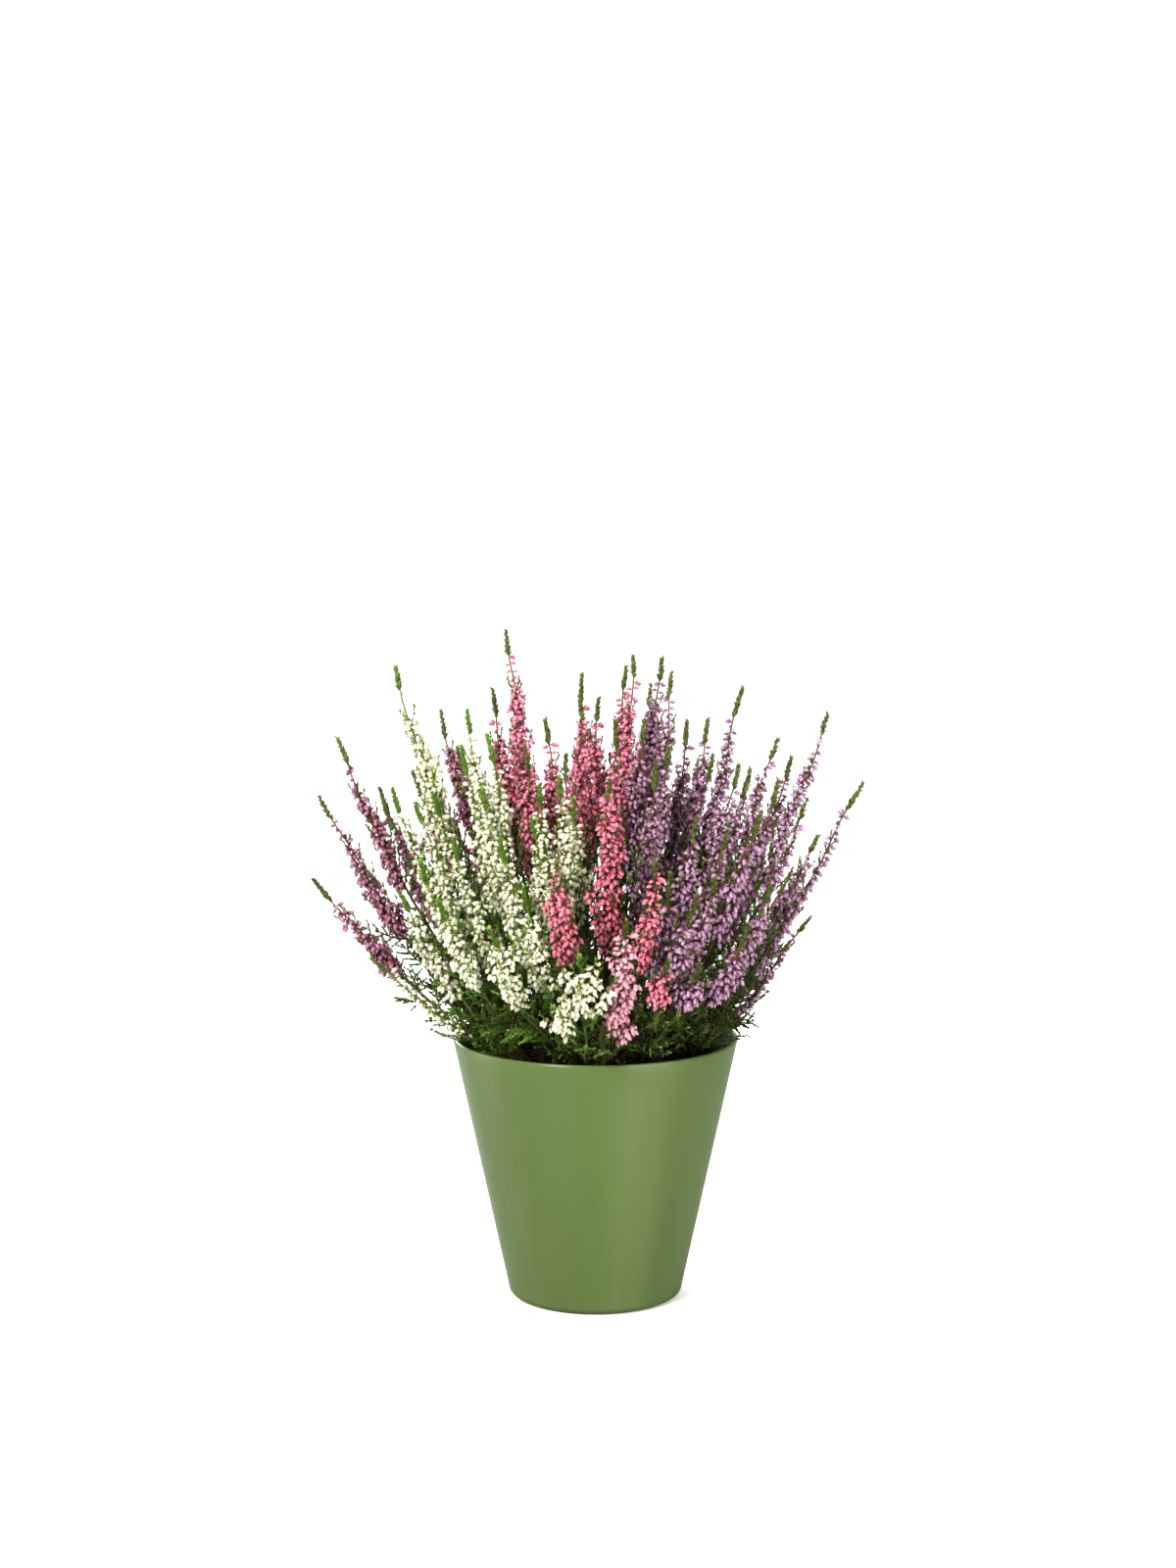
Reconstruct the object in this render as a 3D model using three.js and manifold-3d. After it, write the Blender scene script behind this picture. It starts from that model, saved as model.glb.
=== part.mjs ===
// A heath in full flower in a plain green pot: white, pink and lilac plants grown together.
// Units are millimetres and +Z is up. The origin is the centre of the pot's flat underside.
// Seen along +Y, the white flowers are on the left and the lilac ones on the right.
import * as THREE from "three";
import { mergeVertices } from "three/addons/utils/BufferGeometryUtils.js";
import Module from "manifold-3d";

const wasm = await Module();
wasm.setup();

// Pot: a plain cone of moulded plastic with a rounded foot and rim, and drain holes in its floor
const potHeight = 120;
const potRimRadius = 65;
const potFootRadius = 40;
const potWall = 2;
const potFloor = 3;
const potFootRound = 4;
const potSides = 40;
const drainHoles = 5;
const drainRadius = 4.5;
const drainCircle = 24;
const fitGap = 0.3;

// Peat: it fills the pot to a little under the rim
const peatTop = 108;

// Every stem follows a line of one fan, so that no two of them cross. Rises are above the fan's root.
const fanHeight = 83;
const stemFootRise = 18;
const forkRise = 30;
const forkBlend = 34;
const soilMargin = 3;
const fullBend = 1.6;
const rimReach = 57;
const stemRadius = 0.95;
const sideStemRadius = 0.8;

// Shoots have rings of four corners. In a flower spike two corners of each ring stand out as florets.
const sides = 4;
const floretPitch = 5.8;
const floretDroop = 2.0;
const floretVariety = 0.14;
const spikeTurn = 0.5;
const spikeFootReach = 9.5;
const spikeTopReach = 4.6;
const spikeFootCore = 1.9;
const spikeTopCore = 1.2;

// Leafy tips and twigs: the leaves are smaller studs that point along the twig
const leafPitch = 3.4;
const leafReach = 2.4;
const leafCore = 0.8;
const leafLift = 1.8;
const leafyTipLength = 10;
const twigLeafLength = 18;
const longestStemPiece = 45;

// Room kept to the stems of every other node, and to the rim
const clearance = 0.8;
const leastRadius = 0.6;
const rimRoom = 1.2;
const samplesPerLine = 48;

// Flowering sprays. Each shoot is [tip x, tip y, tip z, length of its flowering part].
const nearSprays = {
  white: [
    [[-90, -2, 287, 75], [-72, -8, 231, 56]],
    [[-59, 8, 267, 72], [-59, -20, 253, 66]],
    [[-48, -8, 257, 68], [-50, -42, 237, 58]],
    [[-90, -20, 234, 66], [-78, -38, 230, 62]],
    [[-76, -58, 207, 52], [-62, -54, 217, 56]],
    [[-25, -36, 238, 58], [-9, -30, 231, 48]],
    [[-15, -52, 243, 60], [-27, -62, 226, 52]],
    [[-30, -82, 200, 40], [-44, -86, 183, 30]],
    [[-40, -70, 218, 50], [-67, -74, 193, 40]],
    [[-6, -92, 172, 28], [-18, -78, 147, 13]],
    [[-99, -38, 162, 50]],
    [[-86, -46, 192, 48]],
  ],
  pink: [
    [[-40, 18, 302, 76], [-48, 30, 275, 68]],
    [[-22, 8, 263, 60], [-32, -4, 252, 50]],
    [[-7, -2, 274, 64], [-13, -16, 249, 48]],
    [[1, 24, 271, 56], [17, 14, 291, 72]],
    [[9, -12, 264, 54]],
    [[6, -68, 243, 62]],
    [[-17, -87, 211, 44]],
    [[26, -82, 211, 48], [31, -84, 169, 20]],
    [[13, -94, 187, 52]],
  ],
  lilac: [
    [[30, 32, 289, 70], [43, 26, 260, 58]],
    [[35, 6, 284, 70], [21, -8, 264, 58]],
    [[33, -22, 254, 60], [27, -42, 249, 60]],
    [[66, 8, 277, 72], [52, 0, 247, 60]],
    [[106, 10, 265, 74], [83, 22, 253, 62]],
    [[70, -8, 242, 62], [82, -16, 238, 60]],
    [[62, -34, 246, 62], [58, -50, 220, 54]],
    [[119, -6, 235, 68], [94, -24, 230, 54]],
    [[71, -52, 228, 54], [77, -48, 195, 44], [66, -74, 182, 36]],
    [[51, -72, 202, 48], [44, -56, 226, 54]],
    [[42, -84, 197, 44], [44, -80, 167, 20]],
    [[33, -58, 202, 42]],
    [[95, -24, 178, 48], [84, -36, 198, 38]],
  ],
  mauve: [
    [[-118, 12, 254, 62], [-123, -6, 229, 58]],
    [[-125, -22, 194, 42]],
    [[-99, 22, 230, 62], [-76, 27, 238, 54]],
    [[-85, 54, 234, 50], [-73, 58, 262, 60]],
  ],
};

// Low leafy twigs that grow out between the sprays, over the rim of the pot
const leafyTufts = [
  [[-71, 11, 140, 0], [-73, 21, 150, 0]],
  [[-60, -17, 140, 0], [-65, -6, 153, 0]],
  [[-50, -50, 140, 0], [-37, -57, 148, 0]],
  [[4, -74, 140, 0], [3, -62, 150, 0]],
  [[64, -34, 140, 0], [60, -44, 148, 0]],
  [[-13, 71, 140, 0], [-13, 66, 152, 0]],
];

// The far side, in rings from the outermost inwards. All of a ring leave the fan at one slant.
const farRings = [
  { slant: 5.55, shoots: 15, from: 5, to: 164, heights: [168, 206], blooms: [34, 50] },
  { slant: 4.2, shoots: 7, from: 14, to: 140, heights: [240], blooms: [60] },
  { slant: 2.9, shoots: 4, from: 30, to: 135, heights: [262], blooms: [62] },
  { slant: 1.7, shoots: 2, from: 60, to: 110, heights: [280], blooms: [66] },
];
const farHeightVariety = 0.05;
const farSpraySize = 3;
const farLilacTo = 65;
const farPinkTo = 130;

const colours = {
  pot: 0x6f8f4e,
  peat: 0x2e2018,
  white: 0xe9e8d4,
  pink: 0xd9628c,
  lilac: 0xa873ad,
  mauve: 0xb5669c,
  leafy: 0x3f6425,
};
const potRoughness = 0.42;
const peatRoughness = 1;
const plantRoughness = 0.75;

// A repeatable number between 0 and 1 for two whole numbers, from the usual sine hash
function draw(a, b) {
  const wave = Math.sin(a * 12.9898 + b * 78.233) * 43758.5453;
  return wave - Math.floor(wave);
}

function vary(a, b, amount) {
  return 1 + (draw(a, b) * 2 - 1) * amount;
}

function mix(a, b, share) {
  return a + (b - a) * share;
}

function smooth(share) {
  const held = Math.min(1, Math.max(0, share));
  return held * held * (3 - 2 * held);
}

// How much the line to a tip curves upwards. It is less for a line that would foul the rim.
function bendTo(tip) {
  const reach = Math.hypot(tip[0], tip[1]) / rimReach;
  const rise = (tip[2] - fanHeight) / (potHeight - fanHeight);
  return reach > 1 ? Math.min(fullBend, Math.log(rise) / Math.log(reach)) : fullBend;
}

// The point of the fan line to a tip, at a rise above the fan's root
function fanPoint(tip, rise) {
  const share = Math.pow(rise / (tip[2] - fanHeight), 1 / bendTo(tip));
  return new THREE.Vector3(tip[0] * share, tip[1] * share, fanHeight + rise);
}

// The line of one shoot. A side shoot leaves its spray's main shoot at the fork.
class ShootLine extends THREE.Curve {
  constructor(tip, mainTip) {
    super();
    this.tip = tip;
    this.mainTip = mainTip;
    this.isMain = tip === mainTip;
    this.footRise = this.isMain ? stemFootRise : forkRise - 2;
  }

  getPoint(share, target = new THREE.Vector3()) {
    const rise = mix(this.footRise, this.tip[2] - fanHeight, share);
    const own = fanPoint(this.tip, rise);
    const shared = fanPoint(this.mainTip, rise);
    return target.copy(shared.lerp(own, smooth((rise - forkRise) / forkBlend)));
  }

  // The share of the line's length that lies below a rise
  shareAt(rise) {
    const index = (rise - this.footRise) / (this.tip[2] - fanHeight - this.footRise);
    const lengths = this.getLengths();
    const last = lengths.length - 1;
    const below = Math.floor(index * last);
    return mix(lengths[below], lengths[below + 1], index * last - below) / lengths[last];
  }
}

// The far side's sprays: neighbours on a ring make a spray where their colours agree
function farSprays() {
  const made = [];
  farRings.forEach((ring, ringNumber) => {
    for (let i = 0; i < ring.shoots; i++) {
      const seed = 50 * (ringNumber + 1) + i;
      const angle = mix(ring.from, ring.to, (i + 0.5) / ring.shoots);
      const turn = THREE.MathUtils.degToRad(angle);
      const height = ring.heights[i % ring.heights.length] * vary(seed, 1, farHeightVariety);
      const out = ring.slant * Math.pow(height - fanHeight, 1 / fullBend);
      const bloom = ring.blooms[i % ring.blooms.length];
      const shoot = [out * Math.cos(turn), out * Math.sin(turn), height, bloom];
      const colour = angle < farLilacTo ? "lilac" : angle < farPinkTo ? "pink" : "mauve";
      const last = made[made.length - 1];
      if (i % farSpraySize > 0 && last.colour === colour) {
        last.shoots.push(shoot);
      } else {
        made.push({ colour, shoots: [shoot] });
      }
    }
  });
  return made;
}

function allSprays() {
  const near = Object.entries(nearSprays).flatMap(([colour, sprays]) =>
    sprays.map((shoots) => ({ colour, shoots })));
  const tufts = leafyTufts.map((shoots) => ({ colour: "leafy", shoots }));
  const sprays = [...near, ...farSprays(), ...tufts];
  sprays.forEach((spray) => {
    spray.lines = spray.shoots.map((tip) => new ShootLine(tip, spray.shoots[0]));
  });
  return sprays;
}

const sprays = allSprays();

// Points along all the shoots, to measure room from
const stemPoints = sprays.map((spray) => spray.lines.flatMap((line) => line.getPoints(samplesPerLine)));

function distanceToOthers(point, owner) {
  let least = Infinity;
  stemPoints.forEach((points, i) => {
    if (i === owner) return;
    for (const other of points) {
      least = Math.min(least, point.distanceToSquared(other));
    }
  });
  return Math.sqrt(least);
}

function potInnerRadius(z) {
  return mix(potFootRadius, potRimRadius, z / potHeight) - potWall;
}

function hasRoom(point, radius, owner) {
  const overRim = point.z > potHeight + rimRoom;
  const insidePot = Math.hypot(point.x, point.y) < potInnerRadius(point.z) - rimRoom;
  return (overRim || insidePot) && distanceToOthers(point, owner) > radius + clearance;
}

// One ring of corners round a line. Corners that would reach another stem are drawn in.
function ringCorners(line, ring, owner) {
  const centre = line.getPointAt(ring.share);
  const along = line.getTangentAt(ring.share);
  const right = new THREE.Vector3(1, 0, 0).addScaledVector(along, -along.x).normalize();
  const front = new THREE.Vector3().crossVectors(along, right);
  return Array.from({ length: sides }, (_, side) => {
    const angle = ring.turn + (side * 2 * Math.PI) / sides;
    const out = right.clone().multiplyScalar(Math.cos(angle)).addScaledVector(front, Math.sin(angle));
    const isStud = ring.studs && (side + ring.number) % 2 === 0;
    let radius = isStud ? ring.reach : ring.core;
    let corner = centre.clone().addScaledVector(out, radius);
    while (owner !== undefined && radius > leastRadius && !hasRoom(corner, radius, owner)) {
      radius *= 0.92;
      corner = centre.clone().addScaledVector(out, radius);
    }
    return isStud ? corner.addScaledVector(along, ring.push) : corner;
  });
}

// The rings of one shoot from its foot to its tip: bare stem, florets, then the leafy end
function shootRings(shoot, line, seed) {
  const length = line.getLength();
  const bloom = shoot[3];
  const leafy = bloom > 0 ? leafyTipLength : twigLeafLength;
  const florets = Math.round(bloom / floretPitch);
  const leaves = Math.round(leafy / leafPitch);
  const bloomFrom = length - leafy - bloom;
  const stemTop = bloomFrom - (florets > 0 ? floretPitch : leafPitch);
  const plain = { studs: false, core: line.isMain ? stemRadius : sideStemRadius };
  const overPeat = line.shareAt(forkRise + soilMargin) * length;
  const rings = [{ ...plain, along: 0 }, { ...plain, along: overPeat }];
  if (stemTop - overPeat > longestStemPiece) {
    rings.push({ ...plain, along: (overPeat + stemTop) / 2 });
  }
  rings.push({ ...plain, along: stemTop });
  for (let i = 0; i < florets; i++) {
    rings.push({
      studs: true,
      along: bloomFrom + i * floretPitch,
      core: mix(spikeFootCore, spikeTopCore, i / florets),
      reach: mix(spikeFootReach, spikeTopReach, i / florets) * vary(seed, i, floretVariety),
      push: -floretDroop,
    });
  }
  for (let i = 0; i < leaves; i++) {
    rings.push({
      studs: true,
      along: length - leafy + i * leafPitch,
      core: leafCore,
      reach: leafReach,
      push: leafLift,
    });
  }
  const firstStud = rings.findIndex((ring) => ring.studs);
  return rings.map((ring, number) => ({
    ...ring,
    number,
    share: ring.along / length,
    turn: Math.max(0, number - firstStud) * spikeTurn,
  }));
}

// A closed skin over rings of corners. Each stud is a pyramid on the four plain corners round it.
function skin(ringsOfCorners, tipPoint) {
  const points = [...ringsOfCorners.flat(), tipPoint];
  const triangles = [];
  const at = (ring, side) => ring * sides + (side % sides);
  const lastRing = ringsOfCorners.length - 1;
  for (let ring = 0; ring < lastRing; ring++) {
    for (let side = 0; side < sides; side++) {
      const [a, b] = [at(ring, side), at(ring, side + 1)];
      const [c, d] = [at(ring + 1, side), at(ring + 1, side + 1)];
      if ((ring + side) % 2 === 0) {
        triangles.push(a, b, c, d, c, b);
      } else {
        triangles.push(a, b, d, a, d, c);
      }
    }
  }
  for (let side = 0; side < sides; side++) {
    triangles.push(at(lastRing, side), at(lastRing, side + 1), points.length - 1);
  }
  triangles.push(at(0, 0), at(0, 2), at(0, 1), at(0, 0), at(0, 3), at(0, 2));
  return solid(points.flatMap((point) => point.toArray()), triangles);
}

function solid(positions, triangles) {
  const mesh = new wasm.Mesh({
    numProp: 3,
    vertProperties: new Float32Array(positions),
    triVerts: new Uint32Array(triangles),
  });
  return new wasm.Manifold(mesh);
}

// A solid from a closed three.js geometry
function solidFrom(geometry) {
  const bare = new THREE.BufferGeometry();
  bare.setAttribute("position", geometry.getAttribute("position"));
  bare.setIndex(geometry.getIndex());
  const merged = mergeVertices(bare, 1e-4);
  const corners = Array.from(merged.getIndex().array);
  const triangles = [];
  for (let i = 0; i < corners.length; i += 3) {
    const [a, b, c] = corners.slice(i, i + 3);
    if (a !== b && b !== c && c !== a) triangles.push(a, b, c);
  }
  return solid(merged.getAttribute("position").array, triangles);
}

function geometryOf(body) {
  const mesh = body.getMesh();
  const geometry = new THREE.BufferGeometry();
  geometry.setAttribute("position", new THREE.BufferAttribute(mesh.vertProperties, mesh.numProp));
  geometry.setIndex(new THREE.BufferAttribute(mesh.triVerts, 1));
  geometry.computeVertexNormals();
  return geometry;
}

function shootBody(shoot, line, owner, seed) {
  const rings = shootRings(shoot, line, seed);
  const corners = rings.map((ring) => ringCorners(line, ring, owner));
  return skin(corners, line.getPoint(1));
}

function sprayBody(spray, owner) {
  const bodies = spray.shoots.map((shoot, i) => shootBody(shoot, spray.lines[i], owner, owner * 4 + i));
  return bodies.reduce((all, body) => all.add(body));
}

// Pot profile from the centre of the underside, out, over the rim, and in along the inner floor
function potBody() {
  const slope = (potRimRadius - potFootRadius) / potHeight;
  const rimCentre = potRimRadius - potWall / 2;
  const profile = [new THREE.Vector2(0, 0)];
  for (let i = 0; i <= 3; i++) {
    const angle = (i / 3) * (Math.PI / 2);
    profile.push(new THREE.Vector2(
      potFootRadius - potFootRound * (1 - Math.sin(angle)),
      potFootRound * (1 - Math.cos(angle)),
    ));
  }
  for (let i = 0; i <= 4; i++) {
    const angle = (i / 4) * Math.PI;
    profile.push(new THREE.Vector2(
      rimCentre + (potWall / 2) * Math.cos(angle),
      potHeight - potWall / 2 + (potWall / 2) * Math.sin(angle),
    ));
  }
  profile.push(new THREE.Vector2(potFootRadius - potWall + slope * potFloor, potFloor));
  profile.push(new THREE.Vector2(0, potFloor));
  let body = solidFrom(new THREE.LatheGeometry(profile, potSides).rotateX(Math.PI / 2));
  for (let i = 0; i < drainHoles; i++) {
    const angle = (i / drainHoles) * 2 * Math.PI;
    const drill = new THREE.CylinderGeometry(drainRadius, drainRadius, 4 * potFloor, 8).rotateX(Math.PI / 2);
    drill.translate(drainCircle * Math.cos(angle), drainCircle * Math.sin(angle), 0);
    body = body.subtract(solidFrom(drill));
  }
  return body;
}

// The hole that a stem stands in follows the stem's own foot, a little wider and deeper
function stemHole(line) {
  const core = stemRadius + fitGap * Math.SQRT2;
  const foot = ringCorners(line, { share: 0, core, turn: 0 });
  const above = ringCorners(line, { share: line.shareAt(forkRise + soilMargin), core, turn: 0 });
  const mouth = foot.map((corner, side) => {
    const share = (peatTop - corner.z) / (above[side].z - corner.z);
    return corner.clone().lerp(above[side], share);
  });
  foot.forEach((corner, side) => {
    corner.lerp(above[side], -fitGap / corner.distanceTo(above[side]));
  });
  return { foot, mouth };
}

function circle(radius, z) {
  return Array.from({ length: potSides }, (_, i) => {
    const angle = (i / potSides) * 2 * Math.PI;
    return new THREE.Vector3(radius * Math.cos(angle), radius * Math.sin(angle), z);
  });
}

// Peat: a plug with a pierced top. Each hole has walls down to its own small floor.
function peatBody() {
  const bottomZ = potFloor + fitGap;
  const fit = fitGap / Math.cos(Math.PI / potSides);
  const brim = circle(potInnerRadius(peatTop) - fit, peatTop);
  const base = circle(potInnerRadius(bottomZ) - fit, bottomZ);
  const holes = sprays.map((spray) => stemHole(spray.lines[0]));
  const flat = (points) => points.map((point) => new THREE.Vector2(point.x, point.y));
  const top = THREE.ShapeUtils.triangulateShape(flat(brim), holes.map((hole) => flat(hole.mouth)));
  const points = [...brim, ...holes.flatMap((hole) => hole.mouth)];
  const facingUp = ([a, b, c]) => (isLeftTurn(points[a], points[b], points[c]) ? [a, b, c] : [a, c, b]);
  const triangles = top.flatMap(facingUp);
  const wall = (upperStart, lowerStart, count, flip) => {
    for (let i = 0; i < count; i++) {
      const [a, b] = [upperStart + i, upperStart + ((i + 1) % count)];
      const [c, d] = [lowerStart + i, lowerStart + ((i + 1) % count)];
      triangles.push(...(flip ? [a, b, c, b, d, c] : [a, c, b, b, c, d]));
    }
  };
  const fan = (start, count, facesUp) => {
    for (let i = 1; i < count - 1; i++) {
      triangles.push(start, start + (facesUp ? i : i + 1), start + (facesUp ? i + 1 : i));
    }
  };
  const baseStart = points.length;
  points.push(...base);
  wall(0, baseStart, potSides, false);
  fan(baseStart, potSides, false);
  holes.forEach((hole, i) => {
    const footStart = points.length;
    points.push(...hole.foot);
    wall(potSides + i * sides, footStart, sides, true);
    fan(footStart, sides, true);
  });
  return solid(points.flatMap((point) => point.toArray()), triangles);
}

function isLeftTurn(a, b, c) {
  return (b.x - a.x) * (c.y - a.y) - (b.y - a.y) * (c.x - a.x) > 0;
}

const group = new THREE.Group();

function addNode(name, body, colour, roughness) {
  const material = new THREE.MeshStandardMaterial({ color: colour, roughness, metalness: 0 });
  const mesh = new THREE.Mesh(geometryOf(body), material);
  mesh.name = name;
  group.add(mesh);
}

addNode("pot", potBody(), colours.pot, potRoughness);
addNode("peat", peatBody(), colours.peat, peatRoughness);

const numbers = {};
sprays.forEach((spray, owner) => {
  const kind = spray.colour === "leafy" ? "leafy_tuft" : `${spray.colour}_spray`;
  numbers[kind] = (numbers[kind] ?? 0) + 1;
  const name = `${kind}_${String(numbers[kind]).padStart(2, "0")}`;
  addNode(name, sprayBody(spray, owner), colours[spray.colour], plantRoughness);
});

export default group;
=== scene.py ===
import math
import random

import bpy
from mathutils import Matrix, Vector


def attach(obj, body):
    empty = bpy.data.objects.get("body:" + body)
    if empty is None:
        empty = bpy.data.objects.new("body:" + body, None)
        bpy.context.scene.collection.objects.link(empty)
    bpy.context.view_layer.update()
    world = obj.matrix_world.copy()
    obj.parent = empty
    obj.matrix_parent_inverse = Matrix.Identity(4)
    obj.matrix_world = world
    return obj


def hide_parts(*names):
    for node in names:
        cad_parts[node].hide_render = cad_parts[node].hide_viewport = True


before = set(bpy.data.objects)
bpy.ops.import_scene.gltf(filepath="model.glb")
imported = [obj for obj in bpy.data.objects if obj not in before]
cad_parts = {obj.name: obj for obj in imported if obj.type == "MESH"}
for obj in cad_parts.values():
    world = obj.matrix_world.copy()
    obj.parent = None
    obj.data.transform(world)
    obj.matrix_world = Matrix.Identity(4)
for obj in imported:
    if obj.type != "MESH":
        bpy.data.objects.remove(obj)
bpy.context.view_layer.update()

# A heath in full flower in a green pot: white, pink, lilac and mauve sprays.
# Sizes of the plant and the pot are in millimetres, and are turned to metres when a mesh is made.
mm = 0.001
fullTurn = 6.28


# Small helpers for numbers and meshes

def mix(a, b, share):
    return a + (b - a) * share


def smooth(share):
    held = min(1.0, max(0.0, share))
    return held * held * (3 - 2 * held)


def draw(a, b):
    # from 0 to 1, and always the same for the same two numbers
    wave = math.sin(a * 12.9898 + b * 78.233) * 43758.5453
    return wave - math.floor(wave)


def vary(a, b, amount):
    return 1 + (draw(a, b) * 2 - 1) * amount


def ramp(first, last, steps, unit=1):
    return [mix(first, last, i / steps) * unit for i in range(steps + 1)]


def around(count, turn=0.0):
    # even steps round the middle line, as cosine and sine
    angles = [(side + turn) / count * 2 * math.pi for side in range(count)]
    return [(math.cos(angle), math.sin(angle)) for angle in angles]


def arc(across, up, radius, first, last, steps=8):
    angles = ramp(first, last, steps)
    return [(across + radius * math.cos(angle), up + radius * math.sin(angle)) for angle in angles]


def band(low, high, count):
    # faces between two closed rings of points, from the numbers of their first points
    return [(low + i, low + (i + 1) % count, high + (i + 1) % count, high + i) for i in range(count)]


def addObject(name, data):
    thing = bpy.data.objects.new(name, data)
    bpy.context.collection.objects.link(thing)
    return thing


def meshObject(name, points, faces, values=None, isSmooth=True, links=()):
    mesh = bpy.data.meshes.new(name)
    mesh.from_pydata([Vector(point) * mm for point in points], links, faces)
    for key, numbers in (values or {}).items():
        mesh.attributes.new(key, "FLOAT", "POINT").data.foreach_set("value", numbers)
    if isSmooth:
        mesh.shade_smooth()
    else:
        mesh.shade_flat()
    return addObject(name, mesh)


def keepResult(thing):
    # the mesh that the modifier gives takes the old one's place
    graph = bpy.context.evaluated_depsgraph_get()
    result = bpy.data.meshes.new_from_object(thing.evaluated_get(graph))
    thing.modifiers.clear()
    old = thing.data
    thing.data = result
    bpy.data.meshes.remove(old)
    result.name = thing.name
    return result


# Helpers for node trees and materials

def treeOf(*values):
    # the node tree of the first socket among these values
    return next(value.id_data for value in values if isinstance(value, bpy.types.NodeSocket))


def feed(node, inputs):
    # each input takes a plain value or another node's output
    for key, value in inputs.items():
        if isinstance(value, bpy.types.NodeSocket):
            treeOf(value).links.new(value, node.inputs[key])
        else:
            node.inputs[key].default_value = value
    return node.outputs


def addNode(kind, inputs):
    # the node joins the tree that its inputs come from
    return feed(treeOf(*inputs.values()).nodes.new(kind), inputs)


def compute(kind, a, b=0.0):
    node = treeOf(a, b).nodes.new("ShaderNodeMath")
    node.operation = kind
    return feed(node, {0: a, 1: b})[0]


def computeVector(kind, a, b=(0, 0, 0), output="Vector"):
    node = treeOf(a).nodes.new("ShaderNodeVectorMath")
    node.operation = kind
    return feed(node, {0: a, 1: b})[output]


def plus(first, *others):
    for other in others:
        first = compute("ADD", first, other)
    return first


def times(first, *others):
    for other in others:
        first = compute("MULTIPLY", first, other)
    return first


def heightOf(place):
    return addNode("ShaderNodeSeparateXYZ", {0: place})["Z"]


def addSockets(tree, inputs, outputs):
    # each is a name and a kind, and for some inputs the value to start with
    for way, sockets in (("INPUT", inputs), ("OUTPUT", outputs)):
        for name, kind, *value in sockets:
            socket = tree.interface.new_socket(name, in_out=way, socket_type="NodeSocket" + kind)
            if value:
                socket.default_value = value[0]
    return tree.nodes.new("NodeGroupInput").outputs, tree.nodes.new("NodeGroupOutput")


def linear(*screen):
    # screen colour from 0 to 255, to the values that a shader works with
    values = [value / 255 for value in screen]
    values = [value / 12.92 if value <= 0.04045 else ((value + 0.055) / 1.055) ** 2.4 for value in values]
    return (*values, 1.0)


def grey(value):
    return (value, value, value, 1.0)


def newMaterial(name, roughness, subsurface=0.0, specular=0.5):
    material = bpy.data.materials.new(name)
    material.use_nodes = True
    tree = material.node_tree
    shader = tree.nodes["Principled BSDF"]
    feed(shader, {"Roughness": roughness, "Subsurface Weight": subsurface,
                  "Subsurface Radius": (0.003, 0.002, 0.002), "Specular IOR Level": specular})
    return material, tree, shader


def objectPlace(tree):
    return tree.nodes.new("ShaderNodeTexCoord").outputs["Object"]


def cameraRay(tree):
    return tree.nodes.new("ShaderNodeLightPath").outputs["Is Camera Ray"]


def readAttribute(tree, name):
    node = tree.nodes.new("ShaderNodeAttribute")
    node.attribute_name = name
    return node.outputs["Fac"]


def mixColours(factor, first, second):
    node = treeOf(factor, first).nodes.new("ShaderNodeMix")
    node.data_type = "RGBA"
    return feed(node, {0: factor, 6: first, 7: second})[2]


def remap(value, low, high, toLow=0.0, toHigh=1.0):
    return addNode("ShaderNodeMapRange", {"Value": value, "From Min": low, "From Max": high,
                                          "To Min": toLow, "To Max": toHigh})["Result"]


def noise(place, scale, detail):
    return addNode("ShaderNodeTexNoise", {"Vector": place, "Scale": scale, "Detail": detail})["Fac"]


def bump(height, strength, distance):
    return addNode("ShaderNodeBump", {
        "Height": height, "Strength": strength, "Distance": distance})["Normal"]


# Camera and studio, in metres but for the camera's place

studio = {
    "cameraPlace": (-3.36, -1200, 375),
    "cameraDown": 6.64,
    "lens": 61.36,
    "backdropWidth": 3.2,
    "backdropFront": -1.3,
    "backdropBack": 1.3,
    "backdropHeight": 2.2,
    "backdropBend": 0.7,
    "backdropSeen": 0.93,
    "backdropBounce": 0.45,
    "backdropGlow": 0.3,
    "fade": (0.45, 1.2),
    "worldLight": 0.03,
    "exposure": 0.3,
    "gamma": 0.82,  # deepens the shade, as in the photograph
    # place, target, size and power
    "lights": {
        "keyLeft": ((-0.7, -1.0, 1.0), (0, 0, 0.17), (0.4, 0.4), 23),
        "softRight": ((0.66, -0.78, 0.16), (0, 0, 0.06), (0.85, 0.3), 8),
        "topBack": ((0.25, 0.75, 1.1), (0, 0, 0.17), (0.9, 0.5), 4),
        "softBack": ((-0.45, 1.0, 0.5), (0, 0, 0.17), (0.9, 0.4), 5),
        "sideLeft": ((-1.1, 0.1, 0.16), (0, 0, 0.06), (0.6, 0.3), 4),
        "wallWash": ((0, 0.1, 2.0), (0, 1.3, 0.6), (2.4, 0.4), 26),
    },
}


def makeCamera():
    data = bpy.data.cameras.new("camera")
    data.lens = studio["lens"]
    data.sensor_width = 36
    camera = addObject("camera", data)
    camera.location = Vector(studio["cameraPlace"]) * mm
    camera.rotation_euler = (math.radians(90 - studio["cameraDown"]), 0, 0)
    bpy.context.scene.camera = camera


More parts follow.
